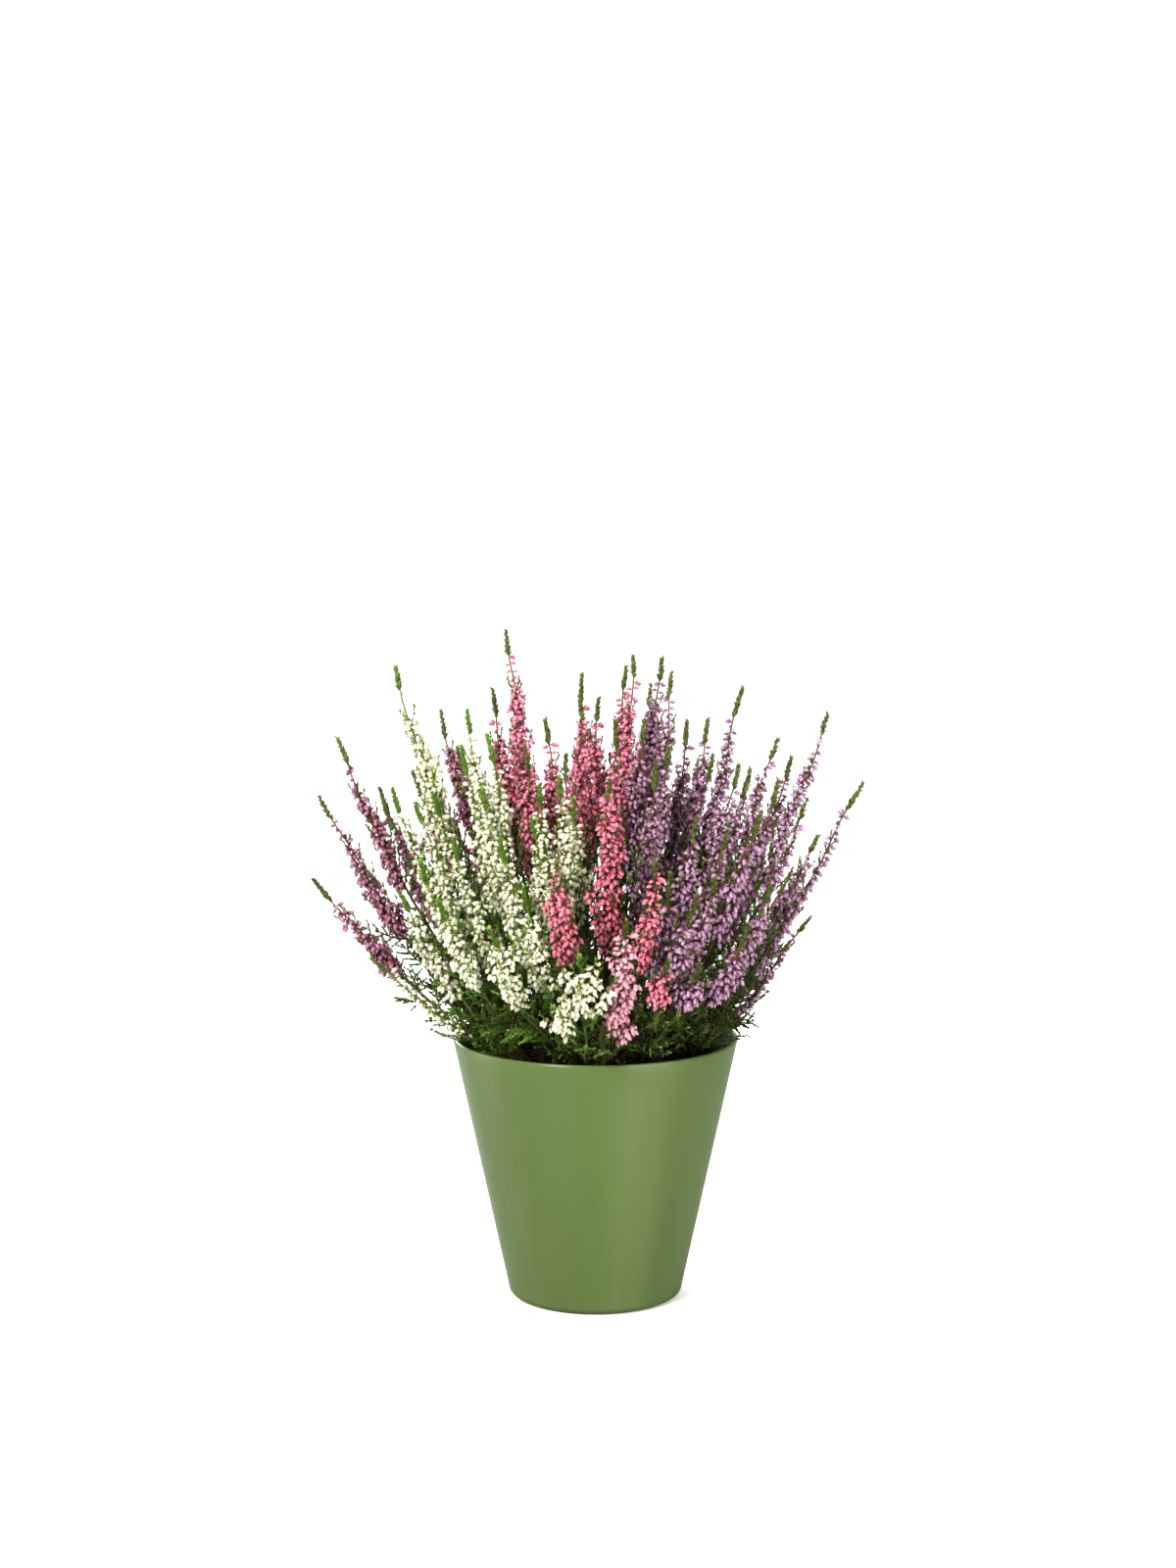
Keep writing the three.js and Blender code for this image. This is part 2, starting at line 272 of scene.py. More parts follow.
def makeBackdrop():
    # floor, round cove and wall, as one sheet
    half = studio["backdropWidth"]
    bend = studio["backdropBend"]
    back = studio["backdropBack"]
    outline = [(studio["backdropFront"], 0.0), *arc(back - bend, bend, bend, -math.pi / 2, 0, 12),
               (back, studio["backdropHeight"])]
    points = [(side, y, z) for y, z in outline for side in (-half, half)]
    faces = [(2 * i, 2 * i + 1, 2 * i + 3, 2 * i + 2) for i in range(len(outline) - 1)]
    mesh = bpy.data.meshes.new("backdrop")
    mesh.from_pydata(points, [], faces)
    mesh.shade_smooth()
    backdrop = addObject("backdrop", mesh)
    paper, tree, shader = newMaterial("studioPaper", roughness=0.9)
    # the paper looks white with a faint shadow, but throws back less light, so the shade in the plant stays
    # deep, and far from the plant it fades to the plain white of the room
    camera = cameraRay(tree)
    distance = computeVector("LENGTH", objectPlace(tree), output="Value")
    near = remap(distance, *studio["fade"], 1.0, 0.0)
    seen = mixColours(near, grey(0.0), grey(studio["backdropSeen"]))
    glow = remap(near, 0.0, 1.0, 1.0, studio["backdropGlow"])
    feed(shader, {"Base Color": mixColours(camera, grey(studio["backdropBounce"]), seen),
                  "Emission Strength": times(camera, glow)})
    mesh.materials.append(paper)


def makeWorld():
    # little light comes from the room, but past the backdrop's edge it looks as pale as the backdrop
    world = bpy.data.worlds.new("studio")
    world.use_nodes = True
    tree = world.node_tree
    strength = remap(cameraRay(tree), 0.0, 1.0, studio["worldLight"], 1.0)
    feed(tree.nodes["Background"], {"Color": grey(1.0), "Strength": strength})
    bpy.context.scene.world = world


def makeLights():
    for name, (place, target, size, power) in studio["lights"].items():
        data = bpy.data.lights.new(name, "AREA")
        data.shape = "RECTANGLE"
        data.size, data.size_y = size
        data.energy = power
        light = addObject(name, data)
        light.visible_camera = False
        light.location = place
        light.rotation_euler = (Vector(target) - Vector(place)).to_track_quat("-Z", "Y").to_euler()
    view = bpy.context.scene.view_settings
    view.view_transform = "Standard"
    view.look = "None"
    view.exposure = studio["exposure"]
    view.gamma = studio["gamma"]


makeCamera()
makeBackdrop()
makeWorld()
makeLights()
print("studio ready")


# Materials of the plant

# throat, its own colour made darker as painted shade; body; tip, partly paler as painted highlight; the other
# tone of the body, also painted into the seams as shade; and bract
petalColours = {
    "white": ((180, 190, 116), (239, 238, 214), (244, 243, 226), (226, 225, 186), (92, 118, 44)),
    "pink": ((182, 92, 108), (227, 140, 163), (234, 178, 194), (211, 110, 138), (70, 78, 40)),
    "coral": ((172, 66, 80), (224, 134, 152), (236, 172, 186), (210, 104, 124), (70, 78, 40)),
    "blush": ((186, 112, 124), (229, 170, 184), (241, 206, 215), (217, 148, 164), (70, 78, 40)),
    "lilac": ((122, 78, 92), (187, 146, 174), (210, 184, 200), (156, 106, 138), (70, 78, 40)),
    "mauve": ((120, 64, 74), (178, 121, 141), (206, 162, 179), (150, 92, 116), (70, 78, 40)),
}
# two tones of old leaves, also used as painted shade, and two of young ones, also used as painted light
leafColours = {
    "green": ((36, 80, 10), (80, 132, 32), (102, 136, 46), (140, 168, 70)),
    "olive": ((42, 84, 12), (94, 144, 36), (98, 105, 52), (138, 140, 84)),
}
# young and woody
stemColours = {
    "green": ((150, 156, 88), (112, 80, 54)),
    "red": ((126, 94, 62), (104, 72, 50)),
}

# along a floret, 0 is its foot, 1 its tip and less than 0 its bract
tints = {
    "throatAndShadeFades": (0.16, 0.45),
    "tipAndHighlightFades": (0.55, 1.0),
    "bractFades": (-0.2, -0.1),
    "seamShadeFades": (0.45, 1.0, 0.0, 0.4),  # from and to, and how much of the other tone is painted into the seams as shade
    "mottleFades": (0.3, 0.7, 0.86, 1.08),  # from and to, and how bright
    "petalMottle": 900,
    "leafMottle": 700,
    "barkMottle": 500,
    "barkDark": (0.02, 0.012, 0.008, 1),
}


def makeLivingTint():
    # one look shared by petals, leaves and stems: each copy has its own tone, with fine mottling
    tree = bpy.data.node_groups.new("livingTint", "ShaderNodeTree")
    start, end = addSockets(
        tree, (("Colour", "Color"), ("Other colour", "Color"), ("Tone", "Float"), ("Mottle size", "Float")),
        (("Colour", "Color"), ("Height", "Float")))
    mottle = noise(objectPlace(tree), start["Mottle size"], 3)
    toned = mixColours(start["Tone"], start["Colour"], start["Other colour"])
    shaded = computeVector("MULTIPLY", toned, remap(mottle, *tints["mottleFades"]))
    feed(end, {"Colour": shaded, "Height": mottle})
    return tree


livingTint = makeLivingTint()


def tinted(tree, colour, other, mottle):
    node = tree.nodes.new("ShaderNodeGroup")
    node.node_tree = livingTint
    return feed(node, {"Colour": colour, "Other colour": other, "Mottle size": mottle,
                       "Tone": readAttribute(tree, "tone")})


def petalMaterial(name, throatAndShade, body, tip, bodyOther, bract):
    material, tree, shader = newMaterial(name, roughness=0.55, subsurface=0.12, specular=0.25)
    along = readAttribute(tree, "along")
    seamShade = remap(readAttribute(tree, "seam"), *tints["seamShadeFades"])
    colour = tinted(tree, body, bodyOther, tints["petalMottle"])["Colour"]
    # the foot of each floret takes the throat colour: its own colour, made darker as painted shade
    colour = mixColours(remap(along, *tints["throatAndShadeFades"]), throatAndShade, colour)
    # towards the tip the colour turns paler: partly the floret's own pale tip, partly painted highlight
    colour = mixColours(remap(along, *tints["tipAndHighlightFades"]), colour, tip)
    # painted shade: the seams between the petals are darkened towards the other tone
    colour = mixColours(seamShade, colour, bodyOther)
    colour = mixColours(remap(along, *tints["bractFades"]), bract, colour)
    feed(shader, {"Base Color": colour})
    return material


def leafMaterial(name, old, oldOther, fresh, freshOther):
    material, tree, shader = newMaterial(name, roughness=0.55, subsurface=0.05)
    # painted light and shade: a leaf's colour runs from the old tones to the young ones, high on young growth
    # and on lit outer twigs, low on leaves in the shade
    freshAndLitShare = readAttribute(tree, "fresh")
    low = mixColours(freshAndLitShare, old, fresh)
    high = mixColours(freshAndLitShare, oldOther, freshOther)
    feed(shader, {"Base Color": tinted(tree, low, high, tints["leafMottle"])["Colour"]})
    return material


def stemMaterial(name, young, woody):
    material, tree, shader = newMaterial(name, roughness=0.7)
    base = mixColours(readAttribute(tree, "woody"), young, woody)
    bark = tinted(tree, base, mixColours(0.45, base, tints["barkDark"]), tints["barkMottle"])
    feed(shader, {"Base Color": bark["Colour"], "Normal": bump(bark["Height"], 0.5, 0.0003)})
    return material


def finishes(make, ending, colours):
    return {key: make(key + ending, *[linear(*colour) for colour in row]) for key, row in colours.items()}


petalFinish = finishes(petalMaterial, "Petals", petalColours)
leafFinish = finishes(leafMaterial, "Leaves", leafColours)
stemFinish = finishes(stemMaterial, "Stems", stemColours)
print("materials ready")


# Shapes that repeat: a floret, a leaf and a leafy twiglet, all growing along +Z from their foot

floretSizes = {
    "neck": (0.95, 0.36),  # height and radius
    "rings": ((1.85, 1.02), (3.2, 0.98)),
    "tip": 4.4,
    "seam": 0.88,  # how far the seams between the petals lie in
    "bractFoot": 0.8,  # height of the bract's foot on the stalk
    "bractOut": 0.15,
    "bractSize": (1.8, 1.1),  # length and width
    "bractSlant": 50,
}


def scaleLeaf(points, faces, foot, direction, flat, length, width):
    # a small pointed leaf with a keel under it: four points, four faces
    side = flat.cross(direction).normalized()
    start = len(points)
    middle = foot + direction * length * 0.55
    points += [foot, middle - side * width / 2 + flat * width * 0.22,
               middle + side * width / 2 + flat * width * 0.22, foot + direction * length]
    faces += [(start, start + 1, start + 2), (start + 1, start + 3, start + 2),
              (start, start + 3, start + 1), (start, start + 2, start + 3)]


def leaning(outward, slant):
    # the direction of a leaf that leans out from +Z, and the one square to its upper side
    sine, cosine = math.sin(slant), math.cos(slant)
    return outward * sine + Vector((0, 0, cosine)), Vector((0, 0, sine)) - outward * cosine


def makeFloret():
    # a closed bell on a thin neck, its three petals parted by seams, with one bract
    size = floretSizes
    tall = size["tip"]
    height, radius = size["neck"]
    points = [Vector((0, 0, 0))] + [Vector((radius * x, radius * y, height)) for x, y in around(3)]
    along = [0.0] + [height / tall] * 3
    seam = [0.0] * 4
    for height, radius in size["rings"]:
        for side, (x, y) in enumerate(around(6)):
            reach = radius * (size["seam"] if side % 2 else 1.0)
            points.append(Vector((reach * x, reach * y, height)))
            along.append(height / tall)
            seam.append(float(side % 2))
    points.append(Vector((0, 0, tall)))
    along += [1.0] + [-0.5] * 4  # the tip, and the bract's four points
    seam += [0.3] + [0.0] * 4
    faces = []
    for side in range(3):
        after = (side + 1) % 3
        low, high = 4 + 2 * side, 4 + 2 * after
        faces += [(0, 1 + after, 1 + side), (1 + side, low + 1, low), (1 + side, 1 + after, low + 1),
                  (1 + after, high, low + 1)]
    for corners in band(4, 10, 6):
        faces += [corners, (corners[3], corners[2], 16)]
    outward = Vector((0, 1, 0))
    foot = outward * size["bractOut"] + Vector((0, 0, size["bractFoot"]))
    scaleLeaf(points, faces, foot, *leaning(outward, math.radians(size["bractSlant"])), *size["bractSize"])
    return meshObject("floretShape", points, faces, {"along": along, "seam": seam})


leafSizes = {
    "leaf": (2.4, 1.3),  # length and width
    "twigletLength": 6.6,
    "twigletPairs": 5,
    "twigletSlant": 17,
    "slantShares": (1.25, 0.7),  # of that slant, at the twiglet's foot and at its end
    "twigletStem": 0.24,
    "twigletLeaf": (2.1, 1.3),
    "leafShares": (1.0, 0.85),
    "stemShort": 1.2,  # how much shorter the stem is than the twiglet
    "pairsInset": (0.5, 1.9),  # from the foot to the first pair and from the end to the last
    "firstTurn": 0.3,
}


def makeLeaf():
    points = []
    faces = []
    scaleLeaf(points, faces, Vector((0, 0, 0)), Vector((0, 0, 1)), Vector((0, 1, 0)), *leafSizes["leaf"])
    return meshObject("leafShape", points, faces, {"along": [0.0, 0.4, 0.4, 1.0]}, isSmooth=False)


def makeTwiglet():
    # a short side shoot covered in pairs of leaves, each pair across the last
    size = leafSizes
    radius = size["twigletStem"]
    long = size["twigletLength"]
    points = [Vector((radius * x, radius * y, height)) for height in (0, long - size["stemShort"])
              for x, y in around(3)]
    faces = band(0, 3, 3) + [(2, 1, 0), (3, 4, 5)]
    low, high = size["pairsInset"]
    for pair in range(size["twigletPairs"]):
        share = pair / (size["twigletPairs"] - 1)
        foot = Vector((0, 0, mix(low, long - high, share)))
        slant = math.radians(size["twigletSlant"]) * mix(*size["slantShares"], share)
        leaf = [value * mix(*size["leafShares"], share) for value in size["twigletLeaf"]]
        for half in range(2):
            angle = pair * math.pi / 2 + half * math.pi + size["firstTurn"]
            outward = Vector((math.cos(angle), math.sin(angle), 0))
            scaleLeaf(points, faces, foot, *leaning(outward, slant), *leaf)
    along = [point.z / long for point in points]
    return meshObject("twigletShape", points, faces, {"along": along}, isSmooth=False)


floretShape = makeFloret()
leafShape = makeLeaf()
twigletShape = makeTwiglet()


# Geometry Nodes: dress the lines of a spray with stems, florets and leaves

# copies stand in pairs: the turn from one pair to the next, how much they lift towards the line's end, how
# much they hang, the number in "part" and the first seed
dressing = {
    "Floret": {"on": "bloom", "turn": 1.85, "lift": (-0.15, 0.35), "droop": 1.0, "part": 1.0, "seed": 10},
    "Leaf": {"on": "leafy", "turn": math.pi / 2, "lift": (1.3, 2.2), "droop": 0.0, "part": 2.0, "seed": 20},
    "Twiglet": {"on": "twiggy", "turn": 0.25, "lift": (0.75, 1.4), "droop": 0.15, "part": 2.0, "seed": 30},
    "toneVariety": 0.8,
    "turnVariety": 0.35,
    "sizeVariety": (0.86, 1.12),
    "skyShare": 0.8,  # how much facing up counts, against facing out of the plant
}


def named(tree, name):
    return feed(tree.nodes.new("GeometryNodeInputNamedAttribute"), {"Name": name})["Attribute"]


def store(geometry, name, value):
    return addNode("GeometryNodeStoreNamedAttribute", {
        "Geometry": geometry, "Name": name, "Value": value})["Geometry"]


def chance(tree, low, high, seed):
    return feed(tree.nodes.new("FunctionNodeRandomValue"), {2: low, 3: high, "Seed": seed})[1]


def bigger(value, limit):
    return addNode("FunctionNodeCompare", {0: value, 1: limit})[0]


def combine(*values):
    return addNode("ShaderNodeCombineXYZ", dict(enumerate(values)))[0]


def position(tree):
    return tree.nodes.new("GeometryNodeInputPosition").outputs[0]


def separate(geometry, domain, wanted):
    node = treeOf(geometry).nodes.new("GeometryNodeSeparateGeometry")
    node.domain = domain
    return feed(node, {"Geometry": geometry, "Selection": wanted})


def align(axis, pivot, inputs):
    node = treeOf(*inputs.values()).nodes.new("FunctionNodeAlignRotationToVector")
    node.axis = axis
    node.pivot_axis = pivot
    return feed(node, inputs)["Rotation"]


def copyOnto(points, shape, rotation, scale, wanted=True):
    source = addNode("GeometryNodeObjectInfo", {"Object": shape})["Geometry"]
    return addNode("GeometryNodeInstanceOnPoints", {
        "Points": points, "Selection": wanted, "Instance": source, "Rotation": rotation,
        "Scale": scale})["Instances"]


def join(*pieces):
    node = treeOf(*pieces).nodes.new("GeometryNodeJoinGeometry")
    for piece in pieces:
        feed(node, {"Geometry": piece})
    return node.outputs["Geometry"]


def realize(geometry):
    return addNode("GeometryNodeRealizeInstances", {"Geometry": geometry})["Geometry"]


def paint(geometry, finish, wanted=True):
    return addNode("GeometryNodeSetMaterial", {
        "Geometry": geometry, "Selection": wanted, "Material": finish})["Geometry"]


def makeSprayTree():
    tree = bpy.data.node_groups.new("sprayTree", "GeometryNodeTree")
    start, end = addSockets(tree, (
        ("Lines", "Geometry"), ("Floret length", "Float", 1.0),
        ("Floret shape", "Object"), ("Floret spacing", "Float", 0.88 * mm), ("Floret size", "Float", 1.0),
        ("Leaf shape", "Object"), ("Leaf spacing", "Float", 0.95 * mm), ("Leaf size", "Float", 1.0),
        ("Twiglet shape", "Object"), ("Twiglet spacing", "Float", 1.9 * mm), ("Twiglet size", "Float", 1.0),
        ("Main stem sides", "Int", 5), ("Twig sides", "Int", 3), ("Tone shift", "Float", 0.0),
        ("Shade limit", "Float", 0.25), ("Seed", "Int", 1),
        ("Petal finish", "Material"), ("Leaf finish", "Material"), ("Stem finish", "Material"),
    ), (("Spray", "Geometry"),))
    lines = addNode("GeometryNodeMeshToCurve", {"Mesh": start["Lines"]})["Curve"]

    def tube(some, sides):
        circle = addNode("GeometryNodeCurvePrimitiveCircle", {"Radius": 1.0, "Resolution": start[sides]})
        return addNode("GeometryNodeCurveToMesh", {"Curve": some, "Profile Curve": circle["Curve"],
                                                   "Scale": named(tree, "thick"), "Fill Caps": True})["Mesh"]

    # stems: a round tube along every main line, and a plainer one along each thin twig
    split = separate(lines, "CURVE", bigger(named(tree, "main"), 0.5))
    tubes = join(tube(split["Selection"], "Main stem sides"), tube(split["Inverted"], "Twig sides"))
    stems = store(tubes, "part", 0.0)

    def facesLight(direction):
        # how far a direction points out of the plant or up
        flat = computeVector("MULTIPLY", position(tree), (1, 1, 0))
        lit = computeVector("ADD", computeVector("NORMALIZE", flat), (0, 0, dressing["skyShare"]))
        return computeVector("DOT_PRODUCT", lit, direction, "Value")

    def growAlong(kind):
        # copies stand in pairs, and each pair is turned from the last one
        rule = dressing[kind]
        node = tree.nodes.new("GeometryNodeCurveToPoints")
        node.mode = "LENGTH"
        points = feed(node, {"Curve": lines, "Length": start[kind + " spacing"]})
        seeds = [plus(start["Seed"], rule["seed"] + step) for step in range(4)]
        order = named(tree, "order")
        placed = store(points["Points"], "order", tree.nodes.new("GeometryNodeInputIndex").outputs[0])
        # where it is sparse, every second pair is left out
        gap = times(named(tree, "sparse"), compute("MODULO", order, 4.0))
        isWanted = addNode("FunctionNodeBooleanMath", {
            0: bigger(named(tree, rule["on"]), 0.5),
            1: bigger(compute("SUBTRACT", 1.5, gap), 0.0)})[0]
        placed = separate(placed, "POINT", isWanted)["Selection"]
        tone = plus(chance(tree, 0.0, dressing["toneVariety"], seeds[0]), start["Tone shift"])
        placed = store(store(placed, "tone", tone), "part", rule["part"])
        pair = compute("FLOOR", times(order, 0.5))
        half = times(compute("MODULO", order, 2.0), math.pi)
        variety = dressing["turnVariety"]
        spin = plus(times(pair, rule["turn"]), half, named(tree, "turn"),
                    chance(tree, -variety, variety, seeds[1]))
        outward = combine(compute("COSINE", spin), compute("SINE", spin),
                          chance(tree, *rule["lift"], seeds[2]))
        turned = addNode("FunctionNodeRotateVector", {
            "Vector": outward, "Rotation": points["Rotation"]})["Vector"]
        hang = combine(0.0, 0.0, times(named(tree, "droop"), -rule["droop"]))
        grown = align("Z", "AUTO", {"Vector": computeVector("ADD", turned, hang)})
        faced = align("Y", "Z", {"Rotation": grown, "Vector": points["Tangent"]})
        # outside the shade every copy stays
        isOpen = compute("SUBTRACT", 1.0, named(tree, "shade"))
        light = plus(facesLight(turned), start["Shade limit"], times(isOpen, 9.0))
        size = chance(tree, *dressing["sizeVariety"], seeds[3])
        scale = times(named(tree, "grow"), size, start[kind + " size"])
        long = times(scale, start["Floret length"]) if kind == "Floret" else scale
        return copyOnto(placed, start[kind + " shape"], faced, combine(scale, scale, long),
                        bigger(light, 0.0))

    result = realize(join(stems, growAlong("Floret"), growAlong("Leaf"), growAlong("Twiglet")))
    part = named(tree, "part")
    for finish, limit in (("Stem finish", -1.0), ("Petal finish", 0.5), ("Leaf finish", 1.5)):
        result = paint(result, start[finish], bigger(part, limit))
    feed(end, {"Spray": result})
    return tree


def applyTree(thing, tree, values):
    # the tree's result is kept as a plain mesh
    modifier = thing.modifiers.new("grow", "NODES")
    modifier.node_group = tree
    for item in tree.interface.items_tree:
        if item.item_type == "SOCKET" and item.in_out == "INPUT" and item.name in values:
            modifier[item.identifier] = values[item.name]
    return keepResult(thing)


sprayTree = makeSprayTree()
print("spray tree ready")


# The pot: a plain cone of moulded plastic, with a rounded rim and foot and drain holes

pot = {
    "height": 120,
    "rimRadius": 65,
    "footRadius": 40,
    "wall": 2,
    "floor": 3,
    "floorEdge": (1.4, 2),  # width and height of the slope from the floor to the wall
    "footRound": 4,
    "footRing": 5,  # width of the ring that the pot stands on
    "recess": 0.9,  # depth of the underside inside that ring
    "drainHoles": 5,
    "drainRadius": 4.5,
    "drainCircle": 24,
    "drainSegments": 32,
    "segments": 144,
    "colours": ((94, 113, 60), (101, 120, 67)),
    "roughness": (0.34, 0.41),
    "brushing": 0.8,  # how far the turning marks draw a highlight out
    "dust": (98, 92, 62),
    "dustRise": 12,
    "dustShare": 0.35,
}


def potOuterRadius(z):
    share = (z - pot["footRound"]) / (pot["height"] - pot["wall"] / 2 - pot["footRound"])
    return mix(pot["footRadius"], pot["rimRadius"], share)


def potInnerRadius(z):
    return mix(pot["footRadius"], pot["rimRadius"], z / pot["height"]) - pot["wall"]


def potOutline():
    # radius and height, from the middle of the underside, up the outside and down the inside
    foot, recess, floor = pot["footRound"], pot["recess"], pot["floor"]
    lip = pot["wall"] / 2
    edge = pot["height"] - lip
    slope = math.atan2(pot["rimRadius"] - pot["footRadius"], pot["height"])
    across, up = pot["floorEdge"]
    ring = pot["footRadius"] - foot - pot["footRing"]
    outline = [(0, recess), (ring, recess), (ring + recess, 0.0)]
    outline += arc(pot["footRadius"] - foot, foot, foot, -math.pi / 2, 0)
    outline += [(potOuterRadius(z), z) for z in ramp(foot, edge, 24)[1:-1]]
    outline += arc(pot["rimRadius"] - lip, edge, lip, -slope, math.pi - slope)
    outline += [(potInnerRadius(z), z) for z in ramp(edge, floor + up, 13)[1:]]
    return outline + [(potInnerRadius(floor) - across, floor), (0, floor)]


def lathe(name, outline, segments):
    # turn an outline that starts and ends on the middle line into a closed body
    points = []
    faces = []
    rings = []
    for radius, z in outline:
        sides = around(segments) if radius else [(0, 0)]
        rings.append([len(points) + side % len(sides) for side in range(segments)])
        points += [(radius * x, radius * y, z) for x, y in sides]
    for low, high in zip(rings, rings[1:]):
        for side in range(segments):
            after = (side + 1) % segments
            faces.append(list(dict.fromkeys([low[side], low[after], high[after], high[side]])))
    return meshObject(name, points, faces, isSmooth=False)


def makePotFinish():
    material, tree, shader = newMaterial("greenPlastic", roughness=0.37)
    place = objectPlace(tree)
    # faint flow marks from the mould, run down the wall, and a fine satin grain
    flow = addNode("ShaderNodeMapping", {"Vector": place, "Scale": (1, 1, 0.18)})["Vector"]
    flow = noise(flow, 26, 3)
    light, dark = [linear(*colour) for colour in pot["colours"]]
    base = mixColours(remap(flow, 0.35, 0.68), light, dark)
    # a little peat dust round the foot
    low = remap(heightOf(place), pot["dustRise"] * mm, 0.0, 0.0, pot["dustShare"])
    dust = times(low, remap(noise(place, 420, 4), 0.56, 0.68))
    # fine turning marks of the mould, round the wall, draw a highlight out up and down
    feed(shader, {"Base Color": mixColours(dust, base, linear(*pot["dust"])),
                  "Roughness": remap(flow, 0.3, 0.7, *pot["roughness"]),
                  "Anisotropic": pot["brushing"], "Anisotropic Rotation": 0.25,
                  "Normal": bump(noise(place, 2600, 2), 0.12, 0.0002)})
    return material


def makePot():
    body = lathe("potBody", potOutline(), pot["segments"])
    # the drain holes are cut, then the cutters are thrown away
    points = []
    faces = []
    sides = pot["drainSegments"]
    radius, circle = pot["drainRadius"], pot["drainCircle"]
    for middleX, middleY in around(pot["drainHoles"]):
        start = len(points)
        points += [(circle * middleX + radius * x, circle * middleY + radius * y, z)
                   for z in (-2, pot["floor"] + 2) for x, y in around(sides)]
        faces += [list(range(start, start + sides))[::-1], list(range(start + sides, start + 2 * sides))]
        faces += band(start, start + sides, sides)
    cutter = meshObject("drainCutters", points, faces, isSmooth=False)
    modifier = body.modifiers.new("drainHoles", "BOOLEAN")
    modifier.operation = "DIFFERENCE"
    modifier.solver = "EXACT"
    modifier.object = cutter
    holed = keepResult(body)
    bpy.data.objects.remove(cutter)
    holed.shade_smooth()
    holed.set_sharp_from_angle(angle=math.radians(40))
    holed.materials.clear()
    holed.materials.append(makePotFinish())
    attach(body, "root")
    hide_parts("pot")


makePot()
print("pot ready")


# The peat: a plug that fills the pot, with crumbs and fibres on top

peat = {
    "top": 108,
    "foot": 3.3,
    "footInset": 1.6,
    "sideSteps": (6, 30, 60, 90, 105),
    "gap": 0.4,
    "rings": 44,
    "around": 128,
    "rough": 1.5,
    "edgeDrop": 0.6,
    "colours": ((30, 20, 14), (66, 46, 32), (84, 60, 42)),  # dark, light and pale
    "fibreColours": ((92, 62, 40), (156, 122, 84)),
    # number to the square metre, tilt, size, room to the pot's wall
    "crumbs": {"number": 90000.0, "tilt": 3.0, "size": (0.5, 1.7), "reach": 2.6, "seed": 20},
    "fibres": {"number": 30000.0, "tilt": 0.25, "size": (0.5, 1.3), "reach": 9, "seed": 40},
    "seed": 7,
}


def peatHeight(x, y):
    # low mounds and hollows, with finer lumps on them
    mounds = 0.6 * math.sin(x * 0.11 + 1.3) * math.cos(y * 0.13)
    hollows = 0.3 * math.sin(x * 0.37) * math.sin(y * 0.41 + 2)
    return mounds + hollows + 0.6 * (draw(round(x * 2), round(y * 2)) - 0.5)


def makePeatPlug():
    top, gap, rings = peat["top"], peat["gap"], peat["rings"]
    topRadius = potInnerRadius(top) - gap
    outline = [(0, peat["foot"]), (potInnerRadius(5) - peat["footInset"], peat["foot"])]
    outline += [(potInnerRadius(z) - gap, z) for z in peat["sideSteps"]]
    outline += [(topRadius * (1 - ring / rings), top) for ring in range(rings + 1)]
    plug = lathe("peatPlug", outline, peat["around"])
    for vertex in plug.data.vertices:
        if vertex.co.z > (top - 0.01) * mm:
            x, y = vertex.co.x / mm, vertex.co.y / mm
            edge = smooth((topRadius - math.hypot(x, y)) / 5)
            vertex.co.z += (peatHeight(x, y) * peat["rough"] * edge - peat["edgeDrop"] * (1 - edge)) * mm
    return plug


def makePeatFinish():
    material, tree, shader = newMaterial("peatCrumb", roughness=0.95, specular=0.2)
    place = objectPlace(tree)
    lumps = remap(noise(place, 160, 6), 0.35, 0.65)
    dark, light, pale = [linear(*colour) for colour in peat["colours"]]
    base = mixColours(lumps, dark, light)
    grain = addNode("ShaderNodeTexVoronoi", {"Vector": place, "Scale": 900})["Distance"]
    feed(shader, {"Base Color": mixColours(readAttribute(tree, "tone"), base, pale),
                  "Normal": bump(grain, 0.8, 0.0006)})
    return material


def makeFibreFinish():
    material, tree, shader = newMaterial("dryFibre", roughness=0.8)
    tone = readAttribute(tree, "tone")
    dark, light = [linear(*colour) for colour in peat["fibreColours"]]
    feed(shader, {"Base Color": mixColours(tone, dark, light)})
    return material


def makeCrumbShape():
    # a rough lump: a bead of two rings of five corners between two ends, with its corners moved
    sides = 5
    points = [(0, 0, -0.55)]
    faces = []
    for ring, (z, radius) in enumerate(((-0.25, 0.75), (0.3, 0.7))):
        for side, (x, y) in enumerate(around(sides, 0.5 * ring)):
            reach = radius * vary(side, ring + 3, 0.25)
            points.append((reach * x, reach * y, z * vary(side, ring + 8, 0.4)))
    points.append((0.1, 0, 0.6))
    for side in range(sides):
        after = (side + 1) % sides
        faces += [(0, 1 + after, 1 + side), (1 + side, 1 + after, 1 + sides + side),
                  (1 + after, 1 + sides + after, 1 + sides + side), (1 + sides + side, 1 + sides + after, 11)]
    return meshObject("crumbShape", points, faces, isSmooth=False)


def makeFibreShape():
    # a thin bent strand
    points = []
    faces = []
    steps = 6
    for step in range(steps + 1):
        share = step / steps
        x = (share - 0.5) * 11
        y = 1.6 * math.sin(share * 4.2)
        z = 0.5 + 0.9 * math.sin(share * math.pi)
        radius = 0.17 * (1 - 0.6 * abs(share * 2 - 1))
        points += [(x, y + radius * aside, z + radius * up) for aside, up in around(3)]
    for step in range(steps):
        faces += band(3 * step, 3 * step + 3, 3)
    last = steps * 3
    faces += [(2, 1, 0), (last, last + 1, last + 2)]
    return meshObject("fibreShape", points, faces)


